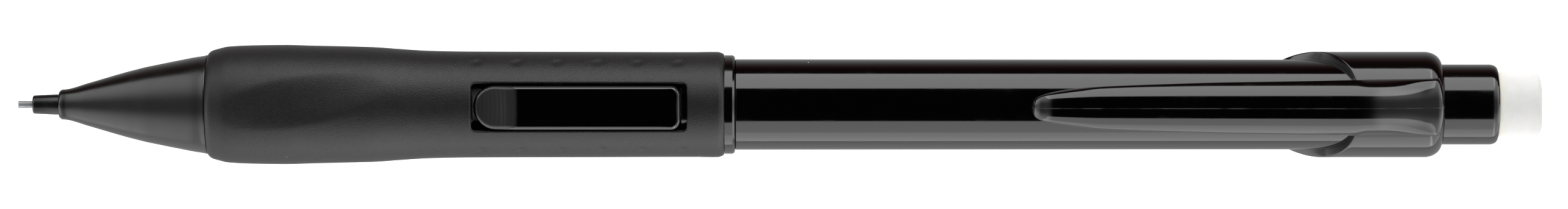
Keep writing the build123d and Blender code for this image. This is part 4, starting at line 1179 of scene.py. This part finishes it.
def studio_world(end_light):
    """A room that is dark overhead, softly lit past the pencil's ends and pale near the desk.

    Past the ends the light grows from overhead to the sides, and it is brightest straight past
    the rear and the point. Under the horizon the near side is pale and the far side is dark
    and warm at first. The camera itself sees white, and matte surfaces are not lit by it.
    """
    world = bpy.data.worlds.new("studio")
    world.use_nodes = True
    tree = world.node_tree
    background = tree.nodes["Background"]
    place = tree.nodes.new("ShaderNodeTexCoord")
    split = tree.nodes.new("ShaderNodeSeparateXYZ")
    tree.links.new(place.outputs["Generated"], split.inputs[0])
    x, y, z = split.outputs
    along = maths(tree, "ABSOLUTE", x)
    level = maths(tree, "SQRT", maths(tree, "SUBTRACT", 1.001, maths(tree, "MULTIPLY", x, x)))
    across = maths(tree, "DIVIDE", maths(tree, "ABSOLUTE", y), level)
    glow = maths(tree, "MULTIPLY_ADD", ramp(tree, across, 0.2, 1.0), SIDE_GLOW, 1.0)
    ends = maths(tree, "MULTIPLY", ramp(tree, along, 0.17, 0.42, 0.0, end_light), glow)
    past_rear = ramp(tree, x, 0.62, 0.95, 0.0, REAR_GLOW * end_light)
    past_point = ramp(tree, x, -0.95, -0.70, POINT_GLOW * end_light, 0.0)
    ends = maths(tree, "ADD", ends, maths(tree, "ADD", past_rear, past_point))
    near = ramp(tree, y, -0.03, 0.03, 1.0, 0.0)
    above = ramp(tree, maths(tree, "MULTIPLY_ADD", near, 0.27, z), -0.03, 0.03)
    near_low = ramp(tree, z, -0.97, -0.35, 0.55, 1.3)
    far_low = ramp(tree, z, -0.95, -0.2, 0.5, 0.05)
    difference = maths(tree, "SUBTRACT", near_low, far_low)
    below = maths(tree, "MULTIPLY_ADD", near, difference, far_low)
    lit = maths(tree, "MULTIPLY", ends, above)
    unlit = maths(tree, "MULTIPLY", below, maths(tree, "SUBTRACT", 1.0, above))
    total = maths(tree, "ADD", maths(tree, "ADD", lit, unlit), 0.002)
    rays = tree.nodes.new("ShaderNodeLightPath")
    seen = put(tree, "ShaderNodeMix", data_type="FLOAT")
    tree.links.new(rays.outputs["Is Camera Ray"], seen.inputs[0])
    tree.links.new(total, seen.inputs[2])
    seen.inputs[3].default_value = 1.0
    tree.links.new(seen.outputs[0], background.inputs["Strength"])
    far = maths(tree, "SUBTRACT", 1.0, near)
    warm = maths(tree, "MULTIPLY", far, ramp(tree, z, -0.75, -0.3))
    warm = maths(tree, "MULTIPLY", warm, ramp(tree, z, -0.02, 0.02, 1.0, 0.0))
    not_seen = maths(tree, "SUBTRACT", 1.0, rays.outputs["Is Camera Ray"])
    warm = maths(tree, "MULTIPLY", warm, not_seen)
    colour = mix_colours(tree, warm, (1.0, 1.0, 1.0), WARM)
    tree.links.new(colour, background.inputs["Color"])
    bpy.context.scene.world = world
    world.cycles_visibility.diffuse = False


def pale_floor():
    """Matte pale paper: a barely uneven white."""
    material, tree, bsdf = start_material("pale_floor")
    tone = placed(tree, "ShaderNodeTexNoise", Scale=9.0, Detail=3.0)
    shade = ramp(tree, tone.outputs[0], 0.3, 0.7)
    base = mix_colours(tree, shade, (0.86, 0.86, 0.86), (0.88, 0.88, 0.88))
    tree.links.new(base, bsdf.inputs["Base Color"])
    tree.links.new(base, bsdf.inputs["Emission Color"])
    bsdf.inputs["Emission Strength"].default_value = 1.16
    bsdf.inputs["Roughness"].default_value = 0.9
    bsdf.inputs["Specular IOR Level"].default_value = 0.1
    return material


class PENCIL_OT_add_stage(bpy.types.Operator):
    """Adds the camera, the floor, the light panels and the room"""

    bl_idname = "pencil.add_stage"
    bl_label = "Stage"

    def execute(self, context):
        studio = context.scene.pencil_studio
        lens = bpy.data.cameras.new("camera")
        lens.sensor_width = 36.0
        lens.lens = lens.sensor_width * studio.camera_distance / studio.view_width
        camera = bpy.data.objects.new("camera", lens)
        lean = studio.camera_lean
        camera.location = (
            studio.view_shift, studio.camera_distance * math.sin(lean),
            AXIS_HEIGHT * MM + studio.camera_distance * math.cos(lean))
        camera.rotation_euler = (-lean, 0, 0)
        context.scene.collection.objects.link(camera)
        context.scene.camera = camera
        context.scene.view_settings.view_transform = "Standard"

        reach = 2.0
        corners = [(-reach, -reach), (reach, -reach), (reach, reach), (-reach, reach)]
        mesh = bpy.data.meshes.new("floor")
        mesh.from_pydata([(x, y, 0.0) for x, y in corners], [], [(0, 1, 2, 3)])
        floor = bpy.data.objects.new("floor", mesh)
        context.scene.collection.objects.link(floor)
        floor.data.materials.append(pale_floor())
        floor.visible_glossy = False

        for name, low, high, side, share in PANELS:
            add_panel_light(name, low, high, side, share * studio.panel_light)
        for name, low, high, side, share in FILLS:
            add_panel_light(name, low, high, side, share * studio.fill_light, glossy=False)
        studio_world(studio.end_light)
        return {"FINISHED"}


# ------------------------------------------------------------------ add-on
OPERATORS = (
    PENCIL_OT_add_stage, PENCIL_OT_add_point, PENCIL_OT_add_grip, PENCIL_OT_add_button,
    PENCIL_OT_add_barrel, PENCIL_OT_add_cap, PENCIL_OT_add_eraser, PENCIL_OT_finish_works,
)


class VIEW3D_PT_pencil(bpy.types.Panel):
    """Sidebar panel with the pencil's steps, sizes and colours"""

    bl_label = "Mechanical pencil"
    bl_idname = "VIEW3D_PT_pencil"
    bl_space_type = "VIEW_3D"
    bl_region_type = "UI"
    bl_category = "Pencil"

    def draw(self, context):
        layout = self.layout
        for operator in OPERATORS:
            layout.operator(operator.bl_idname)
        scene = context.scene
        for settings in (scene.pencil_sizes, scene.pencil_colours, scene.pencil_studio):
            column = layout.column()
            for name in settings.__annotations__:
                column.prop(settings, name)


CLASSES = (PencilSizes, PencilColours, PencilStudio, *OPERATORS, VIEW3D_PT_pencil)


def register():
    for cls in CLASSES:
        bpy.utils.register_class(cls)
    bpy.types.Scene.pencil_sizes = PointerProperty(type=PencilSizes)
    bpy.types.Scene.pencil_colours = PointerProperty(type=PencilColours)
    bpy.types.Scene.pencil_studio = PointerProperty(type=PencilStudio)


def unregister():
    for name in ("pencil_studio", "pencil_colours", "pencil_sizes"):
        delattr(bpy.types.Scene, name)
    for cls in reversed(CLASSES):
        bpy.utils.unregister_class(cls)


def main():
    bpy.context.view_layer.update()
    register()
    bpy.ops.pencil.add_stage()
    bpy.ops.pencil.add_point()
    bpy.ops.pencil.add_grip()
    bpy.ops.pencil.add_button()
    bpy.ops.pencil.add_barrel()
    bpy.ops.pencil.add_cap()
    bpy.ops.pencil.add_eraser()
    bpy.ops.pencil.finish_works()


if __name__ == "__main__":
    main()
